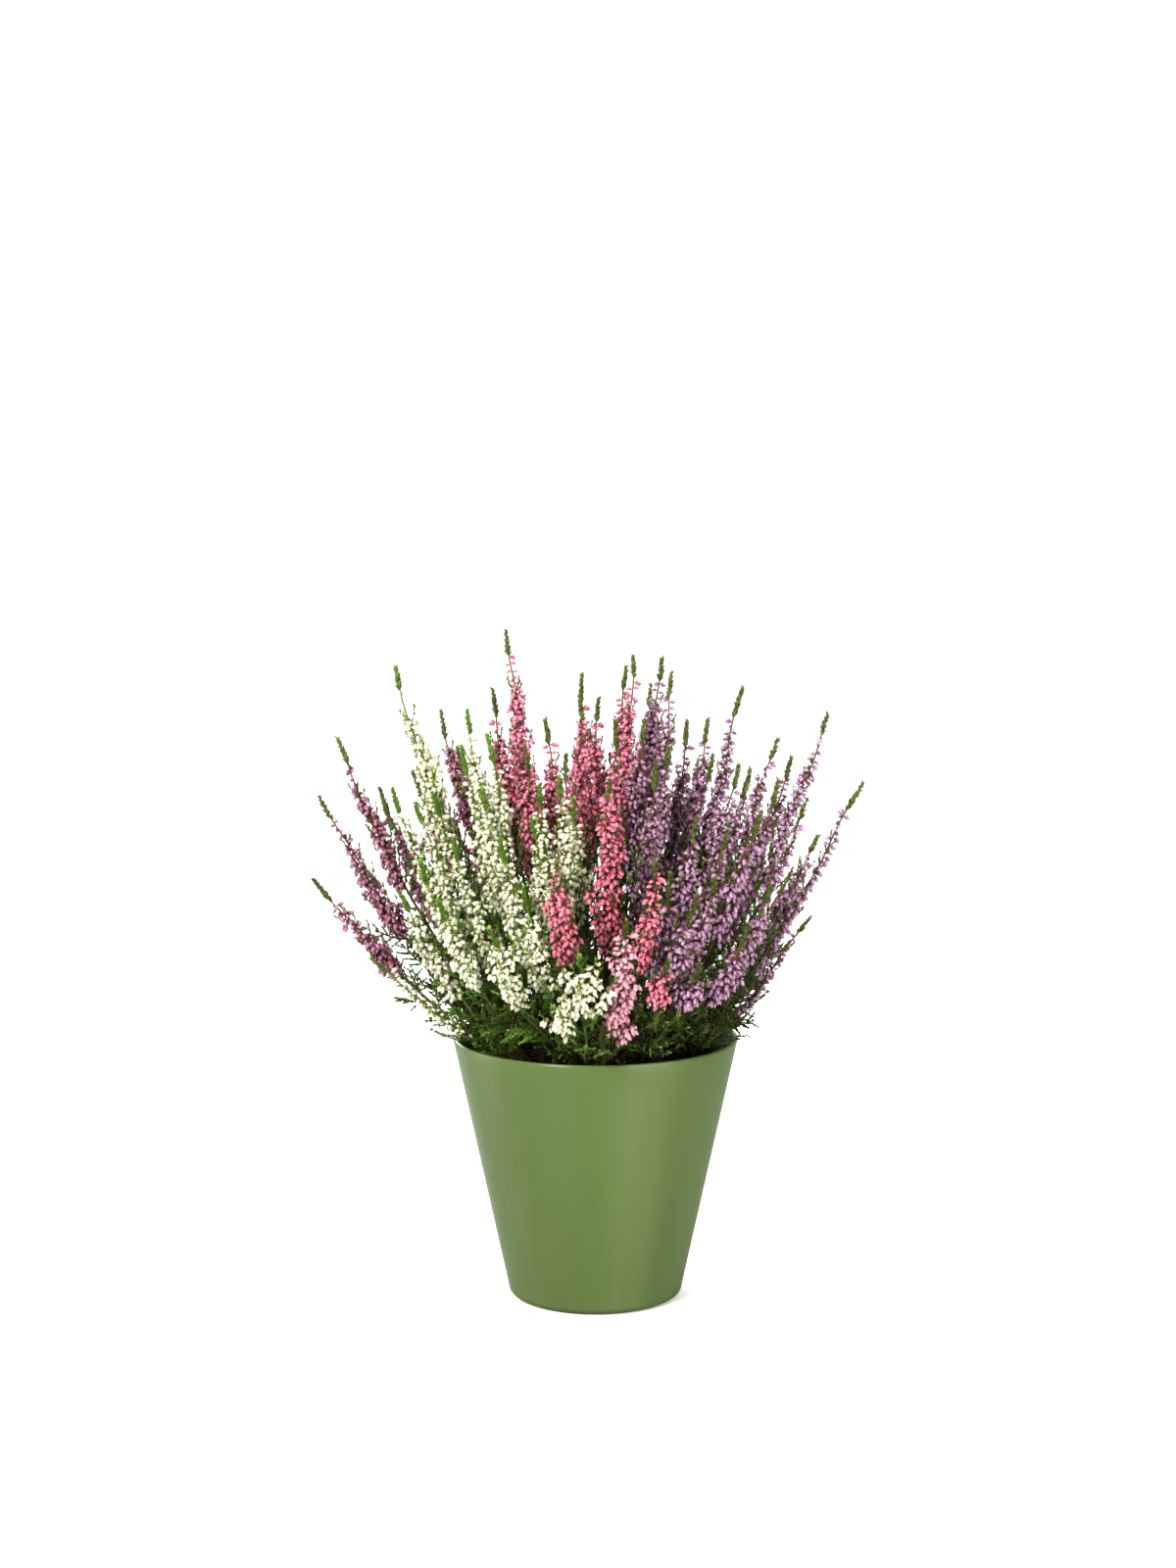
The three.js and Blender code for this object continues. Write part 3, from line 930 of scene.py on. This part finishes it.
def makePeatTree():
    tree = bpy.data.node_groups.new("peatTree", "GeometryNodeTree")
    start, end = addSockets(tree, (
        ("Plug", "Geometry"), ("Seed", "Int", 1),
        ("Crumb shape", "Object"), ("Crumbs", "Float", 100000.0), ("Peat finish", "Material"),
        ("Fibre shape", "Object"), ("Fibres", "Float", 10000.0), ("Fibre finish", "Material"),
    ), (("Peat", "Geometry"),))

    def scatter(shape, density, finish, rule):
        # only on the top, where the surface looks up and lies high, and away from the pot's wall
        place = position(tree)
        normal = tree.nodes.new("GeometryNodeInputNormal").outputs[0]
        isHigh = compute("GREATER_THAN", heightOf(place), (peat["top"] - 3) * mm)
        looksUp = compute("GREATER_THAN", heightOf(normal), 0.3)
        out = computeVector("LENGTH", computeVector("MULTIPLY", place, (1, 1, 0)), output="Value")
        isInside = compute("LESS_THAN", out, (potInnerRadius(peat["top"]) - rule["reach"]) * mm)
        wanted = times(isHigh, looksUp, isInside)
        points = addNode("GeometryNodeDistributePointsOnFaces", {
            "Mesh": start["Plug"], "Selection": wanted, "Density": density, "Seed": start["Seed"]})["Points"]
        tilt, seed = rule["tilt"], rule["seed"]
        angles = tree.nodes.new("FunctionNodeRandomValue")
        angles.data_type = "FLOAT_VECTOR"
        angles = feed(angles, {"Min": (-tilt, -tilt, 0), "Max": (tilt, tilt, fullTurn), "Seed": seed})[0]
        points = store(points, "tone", chance(tree, 0.0, 1.0, seed + 2))
        copies = copyOnto(points, shape, angles, chance(tree, *rule["size"], seed + 1))
        return paint(realize(copies), finish)

    base = paint(start["Plug"], start["Peat finish"])
    crumbs = scatter(start["Crumb shape"], start["Crumbs"], start["Peat finish"], peat["crumbs"])
    fibres = scatter(start["Fibre shape"], start["Fibres"], start["Fibre finish"], peat["fibres"])
    feed(end, {"Peat": join(base, crumbs, fibres)})
    return tree


def makePeat():
    plug = makePeatPlug()
    crumbShape = makeCrumbShape()
    fibreShape = makeFibreShape()
    applyTree(plug, makePeatTree(), {
        "Crumb shape": crumbShape,
        "Fibre shape": fibreShape,
        "Crumbs": peat["crumbs"]["number"],
        "Fibres": peat["fibres"]["number"],
        "Seed": peat["seed"],
        "Peat finish": makePeatFinish(),
        "Fibre finish": makeFibreFinish(),
    })
    bpy.data.objects.remove(crumbShape)
    bpy.data.objects.remove(fibreShape)
    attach(plug, "root")
    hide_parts("peat")


makePeat()
print("peat ready")


# The fan of lines that all shoots follow. The same rule places the solids of the frame.

fan = {
    "height": 83,
    "stemFootRise": 18,
    "forkRise": 30,
    "forkBlend": 34,
    "fullBend": 1.6,
    "rimReach": 57,
}

# Each shoot is tip x, tip y, tip z and the length of its flowering part
nearSprays = {
    "white": [
        [(-90, -2, 287, 75), (-72, -8, 231, 56)], [(-59, 8, 267, 72), (-59, -20, 253, 66)],
        [(-48, -8, 257, 68), (-50, -42, 237, 58)], [(-90, -20, 234, 66), (-78, -38, 230, 62)],
        [(-76, -58, 207, 52), (-62, -54, 217, 56)], [(-25, -36, 238, 58), (-9, -30, 231, 48)],
        [(-15, -52, 243, 60), (-27, -62, 226, 52)], [(-30, -82, 200, 40), (-44, -86, 183, 30)],
        [(-40, -70, 218, 50), (-67, -74, 193, 40)], [(-6, -92, 172, 28), (-18, -78, 147, 13)],
        [(-99, -38, 162, 50)], [(-86, -46, 192, 48)],
    ],
    "pink": [
        [(-40, 18, 302, 76), (-48, 30, 275, 68)], [(-22, 8, 263, 60), (-32, -4, 252, 50)],
        [(-7, -2, 274, 64), (-13, -16, 249, 48)], [(1, 24, 271, 56), (17, 14, 291, 72)],
        [(9, -12, 264, 54)], [(6, -68, 243, 62)], [(-17, -87, 211, 44)],
        [(26, -82, 211, 48), (31, -84, 169, 20)], [(13, -94, 187, 52)],
    ],
    "lilac": [
        [(30, 32, 289, 70), (43, 26, 260, 58)], [(35, 6, 284, 70), (21, -8, 264, 58)],
        [(33, -22, 254, 60), (27, -42, 249, 60)], [(66, 8, 277, 72), (52, 0, 247, 60)],
        [(106, 10, 265, 74), (83, 22, 253, 62)], [(70, -8, 242, 62), (82, -16, 238, 60)],
        [(62, -34, 246, 62), (58, -50, 220, 54)], [(119, -6, 235, 68), (94, -24, 230, 54)],
        [(71, -52, 228, 54), (77, -48, 195, 44), (66, -74, 182, 36)],
        [(51, -72, 202, 48), (44, -56, 226, 54)], [(42, -84, 197, 44), (44, -80, 167, 20)],
        [(33, -58, 202, 42)], [(95, -24, 178, 48), (84, -36, 198, 38)],
    ],
    "mauve": [
        [(-118, 12, 254, 62), (-123, -6, 229, 58)], [(-125, -22, 194, 42)],
        [(-99, 22, 230, 62), (-76, 27, 238, 54)], [(-85, 54, 234, 50), (-73, 58, 262, 60)],
    ],
}
leafyTufts = [
    [(-71, 11, 140, 0), (-73, 21, 150, 0)],
    [(-60, -17, 140, 0), (-65, -6, 153, 0)],
    [(-50, -50, 140, 0), (-37, -57, 148, 0)],
    [(4, -74, 140, 0), (3, -62, 150, 0)],
    [(64, -34, 140, 0), (60, -44, 148, 0)],
    [(-13, 71, 140, 0), (-13, 66, 152, 0)],
]
# rings of shoots on the far side, from one angle to another
farRings = [
    {"slant": 5.55, "shoots": 15, "from": 5, "to": 164, "heights": (168, 206), "blooms": (34, 50)},
    {"slant": 4.2, "shoots": 7, "from": 14, "to": 140, "heights": (240,), "blooms": (60,)},
    {"slant": 2.9, "shoots": 4, "from": 30, "to": 135, "heights": (262,), "blooms": (62,)},
    {"slant": 1.7, "shoots": 2, "from": 60, "to": 110, "heights": (280,), "blooms": (66,)},
]
farLayout = {"variety": 0.05, "spraySize": 3, "lilacTo": 65, "pinkTo": 130}


def bendTo(tip):
    reach = math.hypot(tip[0], tip[1]) / fan["rimReach"]
    rise = (tip[2] - fan["height"]) / (pot["height"] - fan["height"])
    return min(fan["fullBend"], math.log(rise) / math.log(reach)) if reach > 1 else fan["fullBend"]


def fanPoint(tip, rise):
    share = (rise / (tip[2] - fan["height"])) ** (1 / bendTo(tip))
    return Vector((tip[0] * share, tip[1] * share, fan["height"] + rise))


def shootPoint(tip, mainTip, rise):
    # the shoots of one spray share a stem up to the fork
    shared = fanPoint(mainTip, rise)
    own = fanPoint(tip, rise)
    return shared.lerp(own, smooth((rise - fan["forkRise"]) / fan["forkBlend"]))


def farSprays():
    made = []
    for number, ring in enumerate(farRings):
        for i in range(ring["shoots"]):
            angle = mix(ring["from"], ring["to"], (i + 0.5) / ring["shoots"])
            turn = math.radians(angle)
            lift = vary(50 * (number + 1) + i, 1, farLayout["variety"])
            height = ring["heights"][i % len(ring["heights"])] * lift
            out = ring["slant"] * (height - fan["height"]) ** (1 / fan["fullBend"])
            bloom = ring["blooms"][i % len(ring["blooms"])]
            shoot = (out * math.cos(turn), out * math.sin(turn), height, bloom)
            isPink = angle < farLayout["pinkTo"]
            colour = "lilac" if angle < farLayout["lilacTo"] else "pink" if isPink else "mauve"
            if i % farLayout["spraySize"] > 0 and made[-1][0] == colour:
                made[-1][1].append(shoot)
            else:
                made.append((colour, [shoot]))
    return made


def allSprays():
    near = [(colour, shoots) for colour, group in nearSprays.items() for shoots in group]
    return near + farSprays() + [("leafy", shoots) for shoots in leafyTufts]


# Lines of one spray: main stems, flowering side branches and leafy twigs, with what grows on them

growth = {
    "stepLength": 4.0,
    "stemRadius": (0.95, 0.34),  # at the foot and at the top
    "wobble": 0.8,
    "firstShoot": 12.0,
    "barkTo": 122,  # stems are bare and woody below this height
    "rimRoom": 2.4,  # from a line to the pot's wall
    "reach": {"twiggy": 6.5, "bloom": 5.0},  # of twiglets and florets, which stay clear of that wall
    "turnStep": 2.4,  # from one side shoot to the next, in radians
    "branchTo": 0.82,  # share of the spike that has side branches
    "branchTip": 3.2,  # leafy part at a branch's end
    "shadeTo": 208,  # below this height the side that faces the plant's middle has no flowers
    "shadeLimit": 0.25,
    "hiddenTo": 0.45,
    "tipVariety": 0.18,
    "spikeSize": 1.08,  # of the florets at the foot of a spike
    "spikeDroop": (1.1, 0.1),  # at its foot and at its top
    "stemDroop": 0.4,
    "stemFresh": 0.2,
    "barkFade": 1.3,  # how soon the bark turns green up the stem
    "tuftFresh": (0.0, 0.7),
    "tipSize": (1.8, 1.2),  # of the leaves in the tip
    "tipFresh": (0.75, 1.0),
    "hidingBranch": 0.9,  # side branches longer than this hide the stem at the foot of the spike
    "branchesBelow": 4,  # how far below the flowers the first side branch leaves
    "twigsBelow": (2, 6),  # how far below the flowers, or the top of a tuft, the twigs end
    "overPeat": (3, 4),  # where the twigs and the twiglets of a tuft start
    "greenShoots": 2,
    "greenPlace": (-0.15, 0.3),  # where they leave, as a share of the spike
    "greenFrom": 40,  # spikes shorter than this have no green shoots
    "twigletOut": 31,  # twigs nearer to the middle carry no twiglets
    "twigletTo": 172,
}
# Of two values, the first holds at a side shoot's foot and the other at its end, but length and droop go from
# the lowest shoot to the highest. What is called variety is random.
# The leaves' value from old to young colour counts both young growth and painted light: branches that face
# the shade get painted shade, and outer twigs low in the plant get painted light.
branches = dict(
    radius=(0.36, 0.2), length=(15.5, 5.5), spread=45, endShare=0.35, rise=0.25, spacing=2.35, steps=3,
    grow=(1.0, 0.92), woody=0.3, fresh=(0.9, 0.9), paintedShade=(0.1, 0.1), droop=(1.3, 0.5),
    turnVariety=0.3, lengthVariety=(0.75, 1.2), spreadVariety=(0.8, 1.15), spacingVariety=(0.8, 1.25))
greenShoots = dict(
    radius=(0.4, 0.22), length=(17, 17), spread=34, endShare=0.2, rise=0.0, steps=5,
    grow=(0.9, 1.15), woody=0.3, fresh=(0.3, 1.0),
    turnVariety=0, lengthVariety=(0.75, 1.2), spreadVariety=(0.8, 1.2))
twigs = dict(
    radius=(0.42, 0.22), length=(16.0, 10.0), spread=52, endShare=0.45, rise=0.0, spacing=5.4, steps=4,
    grow=(1.15, 1.0), woody=0.6, fresh=(0.1, 0.3), outerPaintedLight=(0.1, 0.8),
    turnVariety=0.4, lengthVariety=(0.7, 1.25), spreadVariety=(0.8, 1.2), spacingVariety=(0.75, 1.3))
# extra lines of leaves in the leafy tip
tipLines = dict(
    starts=(0.3, 0.65), radius=(0.3, 0.3), steps=4, grow=(1.75, 1.15), woody=0.0, fresh=(0.7, 1.0))
lineValues = ("main", "thick", "bloom", "sparse", "leafy", "twiggy", "grow", "woody", "fresh", "droop",
              "shade", "turn", "tone")


def clearOfPot(point, reach):
    # what reaches this far from a point does not meet the pot's wall
    return point.z > pot["height"] + reach or math.hypot(point.x, point.y) < potInnerRadius(point.z) - reach


def keepInPot(point):
    # a point low over the pot stays inside its wall
    if clearOfPot(point, growth["rimRoom"]):
        return point
    out = math.hypot(point.x, point.y)
    room = potInnerRadius(point.z) - growth["rimRoom"]
    return Vector((point.x * room / out, point.y * room / out, point.z))


def addLine(lines, points, **values):
    first = len(lines["points"])
    lines["points"] += [keepInPot(point) for point in points]
    lines["links"] += [(first + i, first + i + 1) for i in range(len(points) - 1)]
    values["turn"] = random.uniform(0, fullTurn)
    values["tone"] = random.random()
    for name in lineValues:
        amounts = values.get(name, 0.0)
        if not isinstance(amounts, list):
            amounts = [amounts] * len(points)
        if name in growth["reach"]:
            isClear = [clearOfPot(point, growth["reach"][name]) for point in points]
            amounts = [amount if clear else 0.0 for amount, clear in zip(amounts, isClear)]
        lines[name] += amounts


def sampleShoot(tip, mainTip, seed):
    # points at even steps along a shoot, with a slight natural wobble
    footRise = fan["stemFootRise"] if tip is mainTip else fan["forkRise"] - 2
    fine = [shootPoint(tip, mainTip, rise) for rise in ramp(footRise, tip[2] - fan["height"], 200)]
    lengths = [0.0]
    for a, b in zip(fine, fine[1:]):
        lengths.append(lengths[-1] + (b - a).length)
    total = lengths[-1]
    count = max(4, round(total / growth["stepLength"]))
    points = []
    at = 0
    for i in range(count + 1):
        goal = total * i / count
        while at < 199 and lengths[at + 1] < goal:
            at += 1
        share = (goal - lengths[at]) / (lengths[at + 1] - lengths[at])
        point = fine[at].lerp(fine[at + 1], share)
        sway = growth["wobble"] * smooth(goal / total)
        point.x += sway * math.sin(goal * 0.13 + seed)
        point.y += sway * math.cos(goal * 0.11 + seed * 1.7)
        points.append(point)
    return points, total


def pointAlong(points, total, goal):
    step = total / (len(points) - 1)
    i = min(len(points) - 2, max(0, int(goal / step)))
    along = (points[i + 1] - points[i]).normalized()
    return points[i].lerp(points[i + 1], goal / step - i), along


def isShaded(start, outward):
    # low in the plant, a direction that points to its middle gets little light
    radial = Vector((start.x, start.y, 0)).normalized()
    light = outward.dot(radial) + dressing["skyShare"] * outward.z
    return start.z < growth["shadeTo"] and light < -growth["shadeLimit"]


def sideLine(start, along, outward, spread, length, kind):
    # a side shoot leaves at an angle and curves up towards the main stem's direction
    points = [start]
    steps = kind["steps"]
    for i in range(steps):
        angle = math.radians(mix(spread, spread * kind["endShare"], (i + 0.5) / steps))
        direction = along * math.cos(angle) + outward * math.sin(angle) + Vector((0, 0, kind["rise"]))
        points.append(points[-1] + direction.normalized() * (length / steps))
    return points


def addSide(lines, points, kind, fresh, scale=1, **values):
    steps = kind["steps"]
    grow = ramp(*[amount * scale for amount in kind["grow"]], steps)
    addLine(lines, points, thick=ramp(*kind["radius"], steps, mm), woody=kind["woody"],
            fresh=ramp(*fresh, steps), grow=grow, **values)


def addMainStem(lines, points, total, bloomFrom, bloomTo, look):
    bloom = bloomTo - bloomFrom
    size = look["size"]
    rows = []
    for i, point in enumerate(points):
        at = total * i / (len(points) - 1)
        up = at / total
        inBloom = bloom > 0 and bloomFrom <= at <= bloomTo
        inTip = bloom > 0 and at > bloomTo
        inTuft = not bloom and peat["top"] + growth["overPeat"][1] < point.z
        share = min(1, max(0, (at - bloomFrom) / bloom)) if bloom else 0
        # few florets where side branches hide the stem, and few at the top
        isHidden = look["branch"] > growth["hidingBranch"] and share < growth["hiddenTo"]
        row = {
            "main": 1.0,
            "thick": mix(*growth["stemRadius"], up) * mm,
            "bloom": float(inBloom),
            "sparse": float(inBloom and (isHidden or share > 1 - look["sparse"])),
            "leafy": float(not inBloom and point.z >= growth["barkTo"]),
            "twiggy": float(inTuft and at < total - 4),
            "grow": 1.0,
            "woody": 1 - smooth(up * growth["barkFade"]),
            "fresh": growth["stemFresh"] if bloom else mix(*growth["tuftFresh"], up),
            "droop": growth["stemDroop"],
            "shade": float(point.z < growth["shadeTo"]),
        }
        if inBloom:
            row.update(grow=mix(growth["spikeSize"], look["topSize"], share) * size,
                       droop=mix(*growth["spikeDroop"], share))
        if inTip:
            tipShare = (at - bloomTo) / (total - bloomTo)
            row.update(grow=mix(*growth["tipSize"], tipShare) * size,
                       fresh=mix(*growth["tipFresh"], tipShare))
        rows.append(row)
    addLine(lines, points, **{name: [row[name] for row in rows] for name in rows[0]})
    # the leafy tip is three times as thick with leaves as the stem below it
    for start in tipLines["starts"] if bloom else ():
        places = ramp(bloomTo + start, total, tipLines["steps"])
        tipPoints = [pointAlong(points, total, at)[0] for at in places]
        addSide(lines, tipPoints, tipLines, tipLines["fresh"], size, leafy=1.0)


def growShoot(lines, tip, mainTip, seed, look):
    random.seed(seed)
    points, total = sampleShoot(tip, mainTip, seed)
    bloomTo = total - look["tip"] * vary(seed, 3, growth["tipVariety"]) if tip[3] else total
    bloomFrom = bloomTo - (tip[3] + look["low"] if tip[3] else 0)
    bloom = bloomTo - bloomFrom
    size = look["size"]
    addMainStem(lines, points, total, bloomFrom, bloomTo, look)
    turn = random.uniform(0, fullTurn)

    def leave(at, kind, share, factor=1):
        # the points of a side shoot, whether it looks into the shade, and its length
        nonlocal turn
        start, along = pointAlong(points, total, at)
        variety = kind["turnVariety"]
        turn += growth["turnStep"] + (random.uniform(-variety, variety) if variety else 0)
        length = mix(*kind["length"], share) * random.uniform(*kind["lengthVariety"]) * factor
        spread = kind["spread"] * random.uniform(*kind["spreadVariety"])
        outward = Matrix.Rotation(turn, 3, along) @ along.orthogonal().normalized()
        return sideLine(start, along, outward, spread, length, kind), isShaded(start, outward), length

    # side branches of the spike, longest at its foot: flowers on the light side, leaves on the shaded one
    at = bloomFrom - growth["branchesBelow"]
    steps = branches["steps"]
    while bloom and at < bloomFrom + bloom * growth["branchTo"]:
        share = max(0.0, (at - bloomFrom) / bloom)
        side, inShade, length = leave(at, branches, share, look["branch"])
        inTip = [inShade or i / steps > 1 - growth["branchTip"] / length for i in range(steps + 1)]
        # a branch that faces the shade has its leaves painted dark as shade
        addSide(lines, side, branches, branches["paintedShade" if inShade else "fresh"], size,
                bloom=[0.0 if leaf or i == 0 else 1.0 for i, leaf in enumerate(inTip)],
                leafy=[1.0 if leaf else 0.0 for leaf in inTip], droop=mix(*branches["droop"], share))
        at += branches["spacing"] * random.uniform(*branches["spacingVariety"])

    # green shoots among the flowers
    for i in range(growth["greenShoots"] if bloom > growth["greenFrom"] else 0):
        side = leave(bloomFrom + bloom * random.uniform(*growth["greenPlace"]), greenShoots, 0)[0]
        addSide(lines, side, greenShoots, greenShoots["fresh"], leafy=1.0)

    # leafy twigs below the flowers, with twiglets on the outer ones
    at = growth["firstShoot"]
    steps = twigs["steps"]
    belowBloom, belowTop = growth["twigsBelow"]
    top = bloomFrom - belowBloom if bloom else total - belowTop
    while at < top:
        if pointAlong(points, total, at)[0].z > peat["top"] + growth["overPeat"][0]:
            side, inShade, length = leave(at, twigs, at / total)
            x, y, z = side[0]
            isOuter = not inShade and math.hypot(x, y) > growth["twigletOut"] and z < growth["twigletTo"]
            # the outer twigs have their leaves painted lighter towards the end as light, and the others stay
            # darker as painted shade
            addSide(lines, side, twigs, twigs["outerPaintedLight" if isOuter else "fresh"], leafy=1.0,
                    twiggy=[1.0 if isOuter and 0 < i < steps else 0.0 for i in range(steps + 1)])
        at += twigs["spacing"] * random.uniform(*twigs["spacingVariety"])


# What sets the sprays apart
plainLook = {
    "size": 1.0,  # of the florets
    "topSize": 0.74,  # of the florets at the top of a spike
    "sparse": 0.14,  # share of a spike, at its top, where florets stand apart in pairs
    "branch": 1.0,  # length of the side branches
    "petals": None,  # petals that are not of the spray's own colour
    "shift": 0.0,  # towards the other tone
    "tip": 11.5,  # length of the leafy tip
    "low": 0,  # how much lower the flowers start
    "long": 1.0,  # length of a floret
    "spacing": 0.88,  # from one floret to the next
}
coral = dict(petals="coral", sparse=0.0, tip=7, long=1.12)
# for each colour, what holds for all its sprays and what holds for one of them
looks = {
    "white": {
        "all": dict(topSize=0.72, sparse=0.0, branch=1.05, size=1.04, spacing=0.82, low=-5),
        1: dict(topSize=0.5, sparse=0.2),
        8: dict(branch=1.3, spacing=0.9, low=0),
        10: dict(branch=1.7, tip=6, low=-2, long=1.1, spacing=0.95),
        11: dict(size=0.84, branch=0.5, sparse=0.2),
        12: dict(branch=1.2),
    },
    "pink": {
        "all": dict(branch=1.08),
        2: dict(low=-14),
        6: dict(coral, branch=1.3, shift=0.1, low=7),
        7: dict(coral, branch=1.25, tip=3.5, low=3),
        8: dict(coral, branch=0.9, low=-5),
        9: dict(coral, petals="blush", branch=1.2, low=6, size=1.08),
    },
    "lilac": {
        "all": dict(sparse=0.08, branch=1.08),
        4: dict(branch=0.8),
        5: dict(branch=0.65, sparse=0.15, topSize=0.82),
        8: dict(branch=0.5, sparse=0.25, topSize=0.86),
        9: dict(long=1.15, low=-6),
        10: dict(long=1.15, low=-6),
        11: dict(long=1.2, low=-8),
        12: dict(long=1.15, low=-6),
        13: dict(size=0.8, branch=0.55, sparse=0.25, shift=-0.2, tip=8),
    },
    "mauve": {
        "all": dict(topSize=0.78, sparse=0.18, branch=0.9),
        3: dict(low=-10),
        4: dict(low=-18),
    },
    "leafy": {"all": {}},
}


def makeSpray(name, colour, shoots, seed, look):
    lines = {key: [] for key in ("points", "links", *lineValues)}
    for i, tip in enumerate(shoots):
        growShoot(lines, tip, shoots[0], seed * 4 + i, look)
    values = {key: lines[key] for key in lineValues}
    spray = meshObject(name, lines["points"], [], values, isSmooth=False, links=lines["links"])
    leaves, stems = ("green", "green") if colour == "white" else ("olive", "red")
    petals = look["petals"] or (colour if colour in petalFinish else "pink")
    result = applyTree(spray, sprayTree, {
        "Floret shape": floretShape,
        "Leaf shape": leafShape,
        "Twiglet shape": twigletShape,
        "Floret spacing": look["spacing"] * mm,
        "Floret length": look["long"],
        "Tone shift": look["shift"],
        "Shade limit": growth["shadeLimit"],
        "Seed": seed * 10,
        "Petal finish": petalFinish[petals],
        "Leaf finish": leafFinish[leaves],
        "Stem finish": stemFinish[stems],
    })
    # of these values the materials read woody, tone, and how young and lit the leaves look
    for key in (*lineValues, "order", "part"):
        if key in result.attributes and key not in ("woody", "fresh", "tone"):
            result.attributes.remove(result.attributes[key])
    return spray


def camel(node):
    words = node.split("_")
    return words[0] + "".join(word.capitalize() for word in words[1:])


def makeAllSprays():
    counts = {}
    for number, (colour, shoots) in enumerate(allSprays()):
        kind = "leafy_tuft" if colour == "leafy" else colour + "_spray"
        counts[kind] = counts.get(kind, 0) + 1
        node = f"{kind}_{counts[kind]:02d}"
        look = {**plainLook, **looks[colour]["all"], **looks[colour].get(counts[kind], {})}
        spray = makeSpray(camel(node), colour, shoots, number, look)
        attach(spray, "root")
        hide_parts(node)
    print("sprays ready:", counts)


makeAllSprays()
for shape in (floretShape, leafShape, twigletShape):
    bpy.data.objects.remove(shape)
